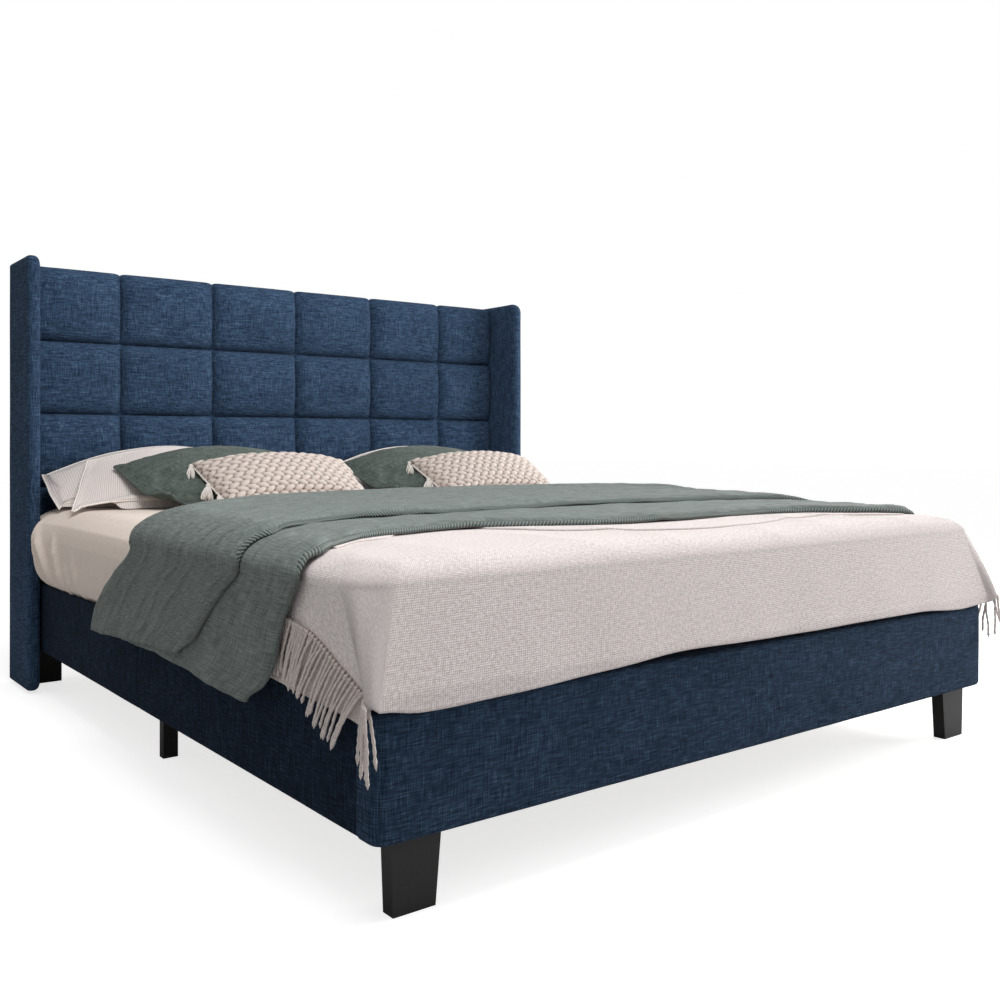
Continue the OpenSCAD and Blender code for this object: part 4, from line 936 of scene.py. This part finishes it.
for node, w, h, front, back, tilt, x, reach, whole, ends, taper in pillow_rows:
    if node.startswith("knit"):
        continue
    piece = pillows[node]
    white = node.startswith("white")
    lay = leant(w, h, front, back, tilt, x, reach, taper)
    pulled = {}
    for corner in piece.data.loops:
        pulled[corner.vertex_index] = piece.data.uv_layers["cut"].data[corner.index].uv.copy()
    laid = []
    for point in piece.data.vertices:
        spot = pulled[point.index]
        u, v = spot.x / (w / 2), spot.y / (h / 2)
        under = point.co.y > 0.001
        if white:
            wrinkle = 0.0035 * noise.noise(Vector((spot.x * 9, spot.y * 9, 0.6 + x)))
        else:
            nearest = min(off_line(spot, line) for line in green_creases)
            if not under:
                point.co.y += 0.020 * math.exp(-(nearest / 0.018) ** 2)
            wrinkle = 0.003 * noise.noise(Vector((spot.x * 11, spot.y * 16, x)))
        spot = sunk(lay @ (point.co + point.normal * (wrinkle - 0.002)), x, w, whole, ends)
        if white:
            # Squashed by its own weight: the underside swells out below the lower seam
            belly = math.exp(-((1 + v) / 0.30) ** 2) * (1 - min(1, abs(u)) ** 6)
            spot += Vector((0, -0.024, 0)) * belly if under else Vector((0, 0, 0.026)) * belly
        laid.append(spot)
    if white:
        rested(laid, x, w)
    for point, spot in zip(piece.data.vertices, laid):
        point.co = spot
        if not white:
            # The lower corners are sewn flat and turn up like ears
            u, v = pulled[point.index].x / (w / 2), pulled[point.index].y / (h / 2)
            ear = math.exp(-((1 - abs(u)) / 0.22) ** 2) * math.exp(-((1 + v) / 0.40) ** 2)
            point.co.z += 0.050 * ear
            point.co.x -= math.copysign(0.020 * ear, u)
    seam = seam_line(piece, x)
    soft = piece.modifiers.new("smooth", "SUBSURF")
    soft.levels = soft.render_levels = 1
    dress(piece, striped if white else green_linen, node)
    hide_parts(node)
    if white:
        piping = tube(node + "_piping", seam, 0.0026, closed=True)
        dress(piping, cord_cotton, node)
    else:
        flange = tube(node + "_stitched_edge", seam, 0.0040, closed=True,
                      swell=lambda at, whole, angle: 1 + 0.22 * math.sin(at / 0.007 * 2 * math.pi))
        dress(flange, green_linen, node)


# Knitted cushions: chunky cotton knitted in staggered loops, 34 mm by 23 mm, over a plain
# inner. A cord closes the short edges and three tassels hang from each.
loop_w, loop_h, loop_rise = 0.034, 0.023, 0.0105


def loop_height(x, z):
    """0 in the gaps between the loops, 1 on a loop's back. Loops lean by turns in each row."""
    best = 0.0
    row = math.floor(z / loop_h)
    for r in (row - 1, row, row + 1):
        shift = 0.5 * (r % 2)
        column = math.floor(x / loop_w - shift)
        lean = 0.55 if r % 2 else -0.55
        for c in (column - 1, column, column + 1):
            dx = x - (c + 0.5 + shift) * loop_w
            dz = z - (r + 0.5) * loop_h
            along = dx * math.cos(lean) + dz * math.sin(lean)
            over = dz * math.cos(lean) - dx * math.sin(lean) + 4.6 * along * along
            inside = 1 - (along / 0.0225) ** 2 - (over / 0.0128) ** 2
            best = max(best, inside)
    return math.sqrt(best) if best > 0 else 0.0


def knitted(piece, w, h):
    """Raises the loops on a cushion's mesh and notes how deep each point lies, for the painted
    shade in the gaps.
    """
    dense = piece.modifiers.new("dense", "SUBSURF")
    dense.levels = dense.render_levels = 1
    ready = bpy.context.evaluated_depsgraph_get()
    fine = bpy.data.meshes.new_from_object(piece.evaluated_get(ready))
    piece.modifiers.clear()
    piece.data = fine
    cut = fine.uv_layers["cut"].data
    where = [None] * len(fine.vertices)
    for corner in fine.loops:
        where[corner.vertex_index] = cut[corner.index].uv.copy()
    depth = fine.attributes.new("depth", "FLOAT", "POINT")
    normals = [point.normal.copy() for point in fine.vertices]
    for point, normal, spot, mark in zip(fine.vertices, normals, where, depth.data):
        rise = loop_height(spot.x, spot.y)
        margin = min(1, (1 - abs(spot.x) * 2 / w) * w / 0.02, (1 - abs(spot.y) * 2 / h) * h / 0.02)
        mark.value = rise
        point.co += normal * (loop_rise * rise * max(0, margin) - 0.004)


# Knitted cotton yarn, oatmeal: matte and fuzzy, plies 1.5 mm apart; the gaps between the loops
# are coloured dark from the depth attribute as painted shade
knit_yarn, tree, shader = finish("knitted cotton yarn, oatmeal", 0.95, Sheen_Weight=0.15,
                                 Specular_IOR_Level=0.2)
deep = add(tree, "ShaderNodeAttribute", attribute_name="depth").outputs["Fac"]
plies = speckle(tree, spot_in(tree, "UV"), 520.0)
coat(tree, shader, reckon(tree, "MULTIPLY_ADD", plies, 0.35, deep),
     [(0.05, "#40352f"), (0.38, "#796b62"), (0.72, "#ac9f97"), (1.0, "#cabeb6")], plies, 0.0006)

# Tassel yarn: soft white cotton, combed straight, strands about 1 mm
tassel_yarn, tree, shader = finish("cotton tassel yarn, white", 0.9, Sheen_Weight=0.3)
hairs = speckle(tree, spot_in(tree, "Object", (700, 700, 60)))
coat(tree, shader, hairs, [(0.3, "#c9c0b8"), (0.65, "#f3eee9")], hairs, 0.0006)

tassel_levels = (-0.5, 0.0, 0.866)
tassel_rnd = random.Random(12)


def tassel(place):
    """One tassel hanging down: a wound knot and a skirt of yarns that spread a little."""
    shape = bmesh.new()
    bmesh.ops.create_uvsphere(shape, u_segments=14, v_segments=8, radius=0.0085)
    yarns = 28
    for i in range(yarns):
        angle = 2 * math.pi * 0.618 * i
        out = Vector((math.cos(angle), math.sin(angle), 0)) * math.sqrt((i + 0.5) / yarns)
        length = tassel_rnd.uniform(0.042, 0.052)
        stray = Vector((tassel_rnd.uniform(-1, 1), tassel_rnd.uniform(-1, 1), 0)) * 0.004
        points = []
        for step in range(8):
            q = step / 7
            spread_out = 0.0050 + 0.0135 * math.sin(q * 2.0)
            points.append(out * spread_out + stray * q * q + Vector((0, 0, -0.002 - length * q)))
        yarn = tube("yarn", points, 0.0024, sides=6,
                    swell=lambda at, whole, angle: 1.0 if 0.0005 < at < whole - 0.0005 else 0.05)
        shape.from_mesh(yarn.data)
        bpy.data.objects.remove(yarn)
    bmesh.ops.transform(shape, matrix=place, verts=shape.verts)
    return settle("tassel", shape)


for node, w, h, front, back, tilt, x, reach, whole, ends, taper in pillow_rows:
    if not node.startswith("knit"):
        continue
    side = node.rsplit("_", 1)[1]
    piece = pillows[node]
    lay = leant(w, h, front, back, tilt, x, reach, taper)
    knitted(piece, w, h)
    for point in piece.data.vertices:
        point.co = sunk(lay @ point.co, x, w, whole, ends)
    seam = seam_line(piece, x)
    dress(piece, knit_yarn, node)
    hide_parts(node)
    cord = tube(node + "_edge_cord", seam, 0.0026, closed=True, twist=2 * math.pi / 0.012,
                lobes=0.22)
    dress(cord, tassel_yarn, node)
    cut = piece.data.uv_layers["cut"].data
    marks = piece.data.attributes["seam"].data
    places = [(cut[corner.index].uv.copy(), piece.data.vertices[corner.vertex_index].co.copy())
              for corner in piece.data.loops if marks[corner.vertex_index].value > 0.5]
    shape = bmesh.new()
    for end in (-1, 1):
        for level in tassel_levels:
            sewn = Vector((end * w / 2, h / 2 * level))
            root = min(places, key=lambda place: (place[0] - sewn).length)[1]
            # The lowest one lies on the bedding, the others hang nearly straight down
            lie = 1.0 if level < -0.4 else 0.45
            turn = (Matrix.Rotation(lie * (math.radians(tilt) - math.pi / 2), 4, "X")
                    @ Matrix.Rotation(end * math.radians(-16), 4, "Y"))
            way = lay.to_3x3() @ Vector((end * 0.0065, 0, 0))
            hanging = tassel(Matrix.Translation(root + way) @ turn)
            shape.from_mesh(hanging.data)
            bpy.data.objects.remove(hanging)
    hanging = settle(node + "_tassels", shape)
    dress(hanging, tassel_yarn, node)
    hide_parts(f"tassels_{side}")


# Cream cloths over the foot of the bed: a plain blanket, and on it a throw woven in a small
# basket weave. Both lie over the mattress's edge and hang in front of the footboard.
body_half = 1.0028
body_foot = -1.0623
foot_face = -1.0967
hang_level = 0.384
shoulder_in, shoulder_drop, shoulder_run = 0.092, 0.042, 0.1075
corner_r, hang_corner_r = 0.062, 0.0035
# Shares of a cream cloth's way from its hidden edge to its hem where the shoulder begins and ends
top_end, shoulder_end = 0.4, 0.58


def round_foot(k, half, y0, r, edge):
    """A place on the line down the left side, round the foot and up the right side, with the
    way that points outwards there."""
    marks = (0.27, 0.33, 0.67, 0.73)
    if k <= marks[0]:
        return Vector((-half, edge + (y0 + r - edge) * k / marks[0])), Vector((-1, 0))
    if k >= marks[3]:
        return (Vector((half, y0 + r + (edge - y0 - r) * (k - marks[3]) / (1 - marks[3]))),
                Vector((1, 0)))
    if marks[1] <= k <= marks[2]:
        share = (k - marks[1]) / (marks[2] - marks[1])
        return Vector(((2 * share - 1) * (half - r), y0)), Vector((0, -1))
    left = k < marks[1]
    first, last = marks[:2] if left else marks[2:]
    share = (k - first) / (last - first)
    angle = math.radians((180 if left else 270) + 90 * share)
    way = Vector((math.cos(angle), math.sin(angle)))
    return Vector(((-1 if left else 1) * (half - r), y0 + r)) + way * r, way


class FootCloth:
    """One cream cloth: how far off the sheet it lies, its top height, its hidden edge and its
    hems. Gives points on it for a place k along the line and t from the hidden edge to the hem."""

    def __init__(self, off, top, edge, hem, bulge, rumple):
        self.off, self.top, self.edge = off, top, edge
        self.hem, self.bulge, self.rumple = hem, bulge, rumple

    def place(self, k, t):
        start = self.top - shoulder_drop
        inset_line, way = round_foot(k, body_half + self.off - shoulder_in,
                                     body_foot - self.off + shoulder_in, corner_r + self.off,
                                     self.edge)
        if t < top_end:
            f = t / top_end
            s = 2 * k - 1
            hidden = Vector((0.4 * s, self.edge - 0.04 * (1 - abs(s))))
            spot = hidden.lerp(inset_line, f)
            return Vector((*spot, self.top + self.rumple(spot.x, spot.y))), spot.copy()
        if t < shoulder_end:
            turn = (t - top_end) / (shoulder_end - top_end) * math.pi / 2
            inset = shoulder_in * (1 - math.sin(turn))
            line, way = round_foot(k, body_half + self.off - inset,
                                   body_foot - self.off + inset, corner_r + self.off, self.edge)
            fade = math.cos(turn)
            z = self.top - shoulder_drop * (1 - math.cos(turn))
            z += self.rumple(line.x, line.y) * fade
            return Vector((*line, z)), inset_line + way * shoulder_run * turn / (math.pi / 2)
        f = (t - shoulder_end) / (1 - shoulder_end)
        hem = self.hem(k)
        z = start + (hem - start) * f
        run = min(1, max(0, (start - z) / (start - hang_level)))
        out = self.bulge(k, f)
        y0 = body_foot - self.off + run * (foot_face - body_foot)
        r = corner_r + run * (hang_corner_r - corner_r) + self.off
        line, way = round_foot(k, body_half + self.off, y0, r, self.edge)
        spot = line + way * out
        return Vector((*spot, z)), inset_line + way * (shoulder_run + start - z)

    def cloth(self, name, across, down, thick):
        piece = mould(name, across, down, lambda u, v: self.place(u, v)[0],
                      cut=lambda u, v: self.place(u, v)[1])
        thicken(piece, thick)
        return piece


def basket_cloth(name, dark, pale, pitch, depth, glints):
    """Basket weave on its own cut: paired threads over and under at the pitch, faint slubs."""
    material, tree, shader = finish(name, 0.88, Sheen_Weight=0.1, Specular_IOR_Level=0.15)
    spot = spot_in(tree, "UV")
    bent = {"Distortion": 1.2, "Detail": 1.0, "Detail Scale": 2.0}
    woven = reckon(tree, "MULTIPLY", stripes(tree, spot, pitch, "X", **bent),
                   stripes(tree, spot, pitch, "Y", **bent))
    tone = reckon(tree, "MULTIPLY_ADD", woven, glints, speckle(tree, spot, 0.6 / pitch, 1.0))
    coat(tree, shader, tone, [(0.3, dark), (0.9, pale)], woven, depth)
    return material


cream_wool = basket_cloth("wool and acrylic blanket, cream", "#c3b7b2", "#ded4cf", 0.003, 0.0005,
                          0.25)
throw_wool = basket_cloth("basket-weave throw, pale shell", "#cabfbc", "#efe6e4", 0.004, 0.0009,
                          0.40)

# Where the green blanket's lower hem crosses the top, and where the throw's turned edge lies
green_hem_top = [(-0.97, -0.85), (-0.90, -0.79), (-0.77, -0.69), (-0.62, -0.635), (-0.45, -0.60),
                 (-0.30, -0.635), (-0.10, -0.70), (0.35, -0.715), (0.68, -0.745), (0.82, -0.85),
                 (0.97, -0.91)]
turned_edge = [(-0.93, -0.81), (-0.80, -0.72), (-0.70, -0.68), (-0.57, -0.56), (-0.44, -0.50),
               (-0.38, -0.62), (-0.33, -0.745), (-0.17, -0.86), (0.06, -0.93), (0.45, -0.87),
               (0.66, -0.87), (0.87, -0.95)]


def throw_rumple(x, y):
    """Soft creases on the throw's top, none under the green blanket."""
    bare = min(1, max(0, (follow(green_hem_top, x) - 0.02 - y) / 0.08))
    p = Vector((x * 2.2 + y * 3.4, y * 1.1 - x * 2.6, 0.3))
    ridge = max(0, 1 - 2.6 * abs(noise.noise(p)))
    return bare * (0.0045 * ridge ** 2 + 0.0035 * (1 + noise.noise(p * 0.8)))


# Height of the throw's hem down a side and round the corner, and along the foot
side_hem = [(0.0, 0.500), (0.160, 0.478), (0.205, 0.468), (0.222, 0.451), (0.245, 0.421),
            (0.268, 0.393), (0.300, 0.374), (0.330, 0.363)]
foot_hem = [(0.330, 0.363), (0.344, 0.352), (0.374, 0.354), (0.398, 0.359), (0.425, 0.367),
            (0.455, 0.377), (0.488, 0.374), (0.524, 0.370), (0.612, 0.369), (0.646, 0.357),
            (0.670, 0.363)]


def throw_hem(k):
    s = min(k, 1 - k)
    if s > 0.33:
        return follow(foot_hem, k)
    wave = 0.006 * noise.noise(Vector((k * 19, 0.7, 0))) * (0.4 if k < 0.3 else 1.6)
    return follow(side_hem, s) + wave * min(1, (0.33 - s) / 0.04)


def throw_bulge(k, f):
    s = min(k, 1 - k)
    # The corner stands out in a fold, steep on the side and easing off along the foot
    corner = math.exp(-((s - 0.295) / (0.012 if s < 0.295 else 0.024)) ** 2)
    ripple = max(0, 0.5 + 0.9 * noise.noise(Vector((k * 34, 0.2 + 0.5 * f, 4))))
    out = (1 - (1 - f) ** 2) ** 1.1
    return out * 0.030 * corner + f * 0.006 * ripple * (1 - corner) + 0.0005


blanket = FootCloth(0.0016, 0.5937, foot_face + 0.820,
                    lambda k: follow([(0.0, 0.362), (0.12, 0.358), (0.25, 0.337), (0.262, 0.337),
                                      (0.274, 0.380), (0.33, 0.385)],
                                     min(k, 1 - k)),
                    lambda k, f: 0.0004, lambda x, y: 0.0)
under = blanket.cloth("blanket_cream", 240, 50, 0.0022)
dress(under, cream_wool, "cream_blanket")
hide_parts("cream_blanket")

throw = FootCloth(0.0047, 0.5968, foot_face + 0.640, throw_hem, throw_bulge, throw_rumple)
top_cloth = throw.cloth("throw_cream", 420, 90, 0.0028)
dress(top_cloth, throw_wool, "fringed_throw")
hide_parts("fringed_throw")


turned_w, turned_d = 1.76, 0.16


def turned_point(u, v):
    """The throw's head edge lies turned back on it, under the green blanket and out again."""
    x = -0.90 + turned_w * u
    y = follow(turned_edge, x) + turned_d * v
    lift = 0.0030 + 0.0012 * rounded(turned_d * v, 0.012)
    return Vector((x, y, throw.top + throw_rumple(x, y) + lift))


turned = mould("throw_turned_edge", 260, 14, turned_point,
               cut=lambda u, v: (turned_w * u, turned_d * v))
thicken(turned, 0.0028)
dress(turned, throw_wool, "fringed_throw")


# Fringe: the throw's warp yarns, knotted in bundles at the side hems and twisted in two plies.
# They sweep a little towards the head, and hang straight at the corners.
shape = bmesh.new()
strands = random.Random(5)
strand_count = 78
for side in (0, 1):
    for i in range(strand_count):
        k = 0.012 + 0.282 * (i + 0.5) / strand_count
        k_here = 1 - k if side else k
        root, _ = throw.place(k_here, 1.0)
        line, way = round_foot(k_here, body_half, body_foot, corner_r, throw.edge)
        out = Vector((way.x, way.y, 0))
        sweep = follow([(0.0, 0.2), (0.158, 0.31), (0.211, 0.55), (0.245, 0.60), (0.268, 0.72)], k)
        sweep += 0.08 * strands.uniform(-1, 1)
        length = follow([(0.0, 0.115), (0.158, 0.118), (0.211, 0.142), (0.268, 0.160)], k)
        length += 0.010 * strands.uniform(-1, 1)
        if k > 0.272:
            # The last few hang in a bunch from the corner
            sweep, length = 0.30 * strands.uniform(-1, 1), 0.125 + 0.012 * strands.uniform(-1, 1)
        bend = 0.16 * strands.uniform(-1, 1)
        points = []
        for j in range(17):
            q = j / 16
            angle = sweep * (1.3 - 0.55 * q + bend * q)
            if not points:
                spot = root + out * 0.0048 + Vector((0, 0, 0.006))
            else:
                spot = points[-1] + Vector((0, math.sin(angle), -math.cos(angle))) * length / 16
                spot += out * 0.0004 * math.sin(q * 7 + i * 2.4)
                spot.y += 0.0006 * math.sin(q * 13 + i * 1.7)
            points.append(spot)

        def ends(at, whole, angle):
            knot = 1 + 0.5 * math.exp(-((at - 0.008) / 0.005) ** 2)
            knot += 0.3 * math.exp(-((whole - 0.012 - at) / 0.004) ** 2)
            return knot if 0.0005 < at < whole - 0.0005 else 0.02

        strand = tube("strand", points, 0.0027, sides=8, lobes=0.26, twist=2 * math.pi / 0.016,
                      swell=ends)
        shape.from_mesh(strand.data)
        bpy.data.objects.remove(strand)
fringe = settle("throw_fringe_strands", shape)
# Twisted acrylic yarn, cream: soft, its plies 4 mm apart
fringe_yarn, tree, shader = finish("twisted acrylic yarn, cream", 0.9, Sheen_Weight=0.1,
                                   Specular_IOR_Level=0.2)
fibre = speckle(tree, spot_in(tree, "UV", (900, 250, 1)))
coat(tree, shader, fibre, [(0.3, "#b9aca6"), (0.7, "#e8dfda")], fibre, 0.0004)
dress(fringe, fringe_yarn, "fringed_throw")
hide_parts("throw_fringe")


# Green blanket: one piece of thick washed linen, folded double at its head edge, over the top
# and both sides. Its two foot edges are rolled and whip-stitched in a heavier yarn.
cover_half = 1.0205
cover_flat = cover_half - shoulder_in
cover_base = 0.5985
cover_shoulder = cover_base - shoulder_drop
cover_thick = 0.0068
cover_flat_w, cover_flat_l = 2.58, 1.75
low_side = [(0.0, -0.885), (0.07, -0.875), (0.23, -0.845), (0.38, -0.821), (0.66, -0.794),
            (0.82, -0.761), (1.0, -0.690)]
mid_top = [(-0.97, -0.655), (-0.90, -0.585), (-0.76, -0.475), (-0.62, -0.41), (-0.34, -0.40),
           (-0.11, -0.375), (0.11, -0.35), (0.50, -0.38), (0.84, -0.44), (0.97, -0.50)]
mid_side = [(0.0, -0.672), (0.23, -0.606), (0.49, -0.538), (0.78, -0.467), (1.0, -0.385)]
high_top = [(-0.97, -0.19), (-0.93, -0.16), (-0.85, -0.085), (-0.68, 0.075), (-0.41, 0.205),
            (-0.2, 0.225), (0.1, 0.258), (0.5, 0.272), (0.8, 0.16), (0.93, 0.03), (0.97, -0.02)]
high_side = [(0.0, -0.108), (0.33, 0.016), (0.565, 0.090), (0.763, 0.145), (1.0, 0.178)]
fold_share = 0.44
fold_turn = 0.06


def cover_point(u, v):
    """A point of the cover: u from the left hem to the right, v from the lower foot hem, up to
    the head fold and back to the upper foot hem."""
    side = -1 if u < 0.5 else 1
    a = abs(2 * u - 1)
    if v <= fold_share:
        run, layer = v / fold_share, 0.0
    elif v < fold_share + fold_turn:
        run, layer = 1.0, (v - fold_share) / fold_turn
    else:
        run, layer = 1 - (v - fold_share - fold_turn) / (1 - fold_share - fold_turn), 1.0
    hem_low = follow([(0, 0.301), (0.5, 0.320), (1, 0.314)], run)
    hem_high = follow([(0, 0.345), (0.5, 0.330), (1, 0.316)], run)
    hem = hem_low + (hem_high - hem_low) * layer
    drop = cover_shoulder - hem
    reach = cover_flat + shoulder_run + drop
    far = a * reach
    e = 0.0
    if far <= cover_flat:
        x, z, nx, nz = far, cover_base, 0.0, 1.0
    elif far <= cover_flat + shoulder_run:
        turn = (far - cover_flat) / shoulder_run * math.pi / 2
        x = cover_flat + shoulder_in * math.sin(turn)
        z = cover_base - shoulder_drop * (1 - math.cos(turn))
        nx, nz = math.sin(turn) ** 2, math.cos(turn) ** 0.7 if math.cos(turn) > 0 else 0.0
    else:
        e = (far - cover_flat - shoulder_run) / drop
        x, z, nx, nz = cover_half, cover_shoulder - e * drop, 1.0, 0.0
    here = side * min(x, 0.97)
    if e:
        low_y, mid_y, high_y = follow(low_side, e), follow(mid_side, e), follow(high_side, e)
    else:
        blend = max(0, (x - cover_flat) / shoulder_in) ** 2
        low_y, mid_y, high_y = (
            follow(on_top, here) * (1 - blend) + on_side[0][1] * blend
            for on_top, on_side in ((green_hem_top, low_side), (mid_top, mid_side),
                                    (high_top, high_side)))
    # Each layer rolls under at its foot edge; both are thicker on the top than on the sides
    thick = 0.45 + 0.55 * max(0.0, min(1.0, nz))
    low_run, high_run = run * (high_y - low_y), run * (high_y - mid_y)
    lower_full = 0.0048 + 0.0125 * thick
    lower_lift = 0.0048 + 0.0125 * thick * rounded(low_run, 0.035)
    upper_edge = lower_full + 0.0072
    upper_lift = upper_edge + 0.0135 * thick * rounded(high_run, 0.075)
    upper_lift += 0.014 * thick * max(0, (run - 0.72) / 0.28) ** 1.5
    centre, half = (lower_lift + upper_lift) / 2, (upper_lift - lower_lift) / 2
    turn = layer * math.pi
    if 0 < layer < 1:
        y = high_y - half + half * math.sin(turn) * 1.6
        lift = centre - half * math.cos(turn)
    else:
        start = low_y if layer == 0 else mid_y
        y = start + (high_y - half - start) * run
        lift = lower_lift if layer == 0 else upper_lift
    p = Vector((side * x, y, z))
    # Slack creases run with the hems; fine crinkles are left from washing
    across_creases = Vector((far * side * 3.2, (y - 0.5 * (low_y + high_y)) * 15, 2.4 + layer))
    crinkle = 0.0010 * noise.noise(Vector((far * side * 22, y * 38, 0.4)))
    crinkle += 0.0035 * max(0, 1 - 2.4 * abs(noise.noise(across_creases))) ** 2
    wave = e * 0.005 * (0.5 + 0.5 * math.sin(y * 31 + 1.3 * side)) + 0.002 * e * e
    lift += crinkle + 0.001 + wave * nx
    p += Vector((side * nx, 0, nz)).normalized() * lift
    return p


cover = mould("blanket_green", 300, 110, cover_point,
              cut=lambda u, v: ((u - 0.5) * cover_flat_w, v * cover_flat_l))
thicken(cover, cover_thick)
thick_linen = washed_linen("thick washed linen, sage green", [
    (0.0, "#4a514e"), (0.4, "#646c69"), (0.75, "#78807d"), (1.0, "#909895")],
    pitch=0.0028, streak=0.045, crush=0.0010)
dress(cover, thick_linen, "green_blanket")
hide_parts("green_blanket")

# Whip stitch in wool yarn: slanted turns 9 mm apart, the yarn coloured dark between the pale turns
# as painted shade
stitch_yarn, tree, shader = finish("wool whip stitch, grey green", 0.92, Sheen_Weight=0.1,
                                   Specular_IOR_Level=0.12)
spot = spot_in(tree, "UV")
slant = add(tree, "ShaderNodeMapping", {"Vector": spot, "Rotation": (0, 0, 0.5)})
turns_of_yarn = stripes(tree, slant.outputs["Vector"], 0.0079, "Y", Distortion=0.8)
tone = reckon(tree, "MULTIPLY_ADD", speckle(tree, spot, 500.0), 0.4, turns_of_yarn)
coat(tree, shader, tone, [(0.25, "#454c49"), (0.7, "#636b68"), (1.2, "#7e8683")],
     turns_of_yarn, 0.0012)


def hem_band(name, v):
    """The whip-stitched hem along one foot edge: a flattened roll, 16 mm by 10 mm, that is only
    a thin fold where the edge turns under on the sides."""
    count = 1400
    inward = 0.012 if v == 0 else -0.012
    line = [cover_point(i / count, v) for i in range(count + 1)]
    inner = [cover_point(i / count, v + inward) for i in range(count + 1)]
    lengths = [0.0]
    for a, b in zip(line, line[1:]):
        lengths.append(lengths[-1] + (b - a).length)

    def wall(around, along):
        i = round(along * count)
        way = (line[min(i + 1, count)] - line[max(i - 1, 0)]).normalized()
        wide = inner[i] - line[i]
        wide = (wide - way * wide.dot(way)).normalized()
        up = way.cross(wide) * (1 if v == 0 else -1)
        shown = min(1, max(0, (line[i].z - cover_shoulder - 0.004) / 0.022))
        angle = 2 * math.pi * around
        stitch = 1 + 0.10 * math.sin(lengths[i] / 0.009 * 2 * math.pi + 1.6 * math.sin(angle))
        size = (0.25 + 0.75 * shown) * stitch
        centre = line[i] + wide * 0.004 * shown + up * 0.0006
        return centre + (wide * 0.0080 * math.cos(angle) + up * 0.0050 * math.sin(angle)) * size

    return mould(name, 10, count, wall,
                 cut=lambda around, along: (around * 0.042, lengths[round(along * count)]),
                 join=0.00002)


for name, v in (("green_hem_lower", 0.0), ("green_hem_upper", 1.0)):
    hem = hem_band(name, v)
    dress(hem, stitch_yarn, "green_blanket")
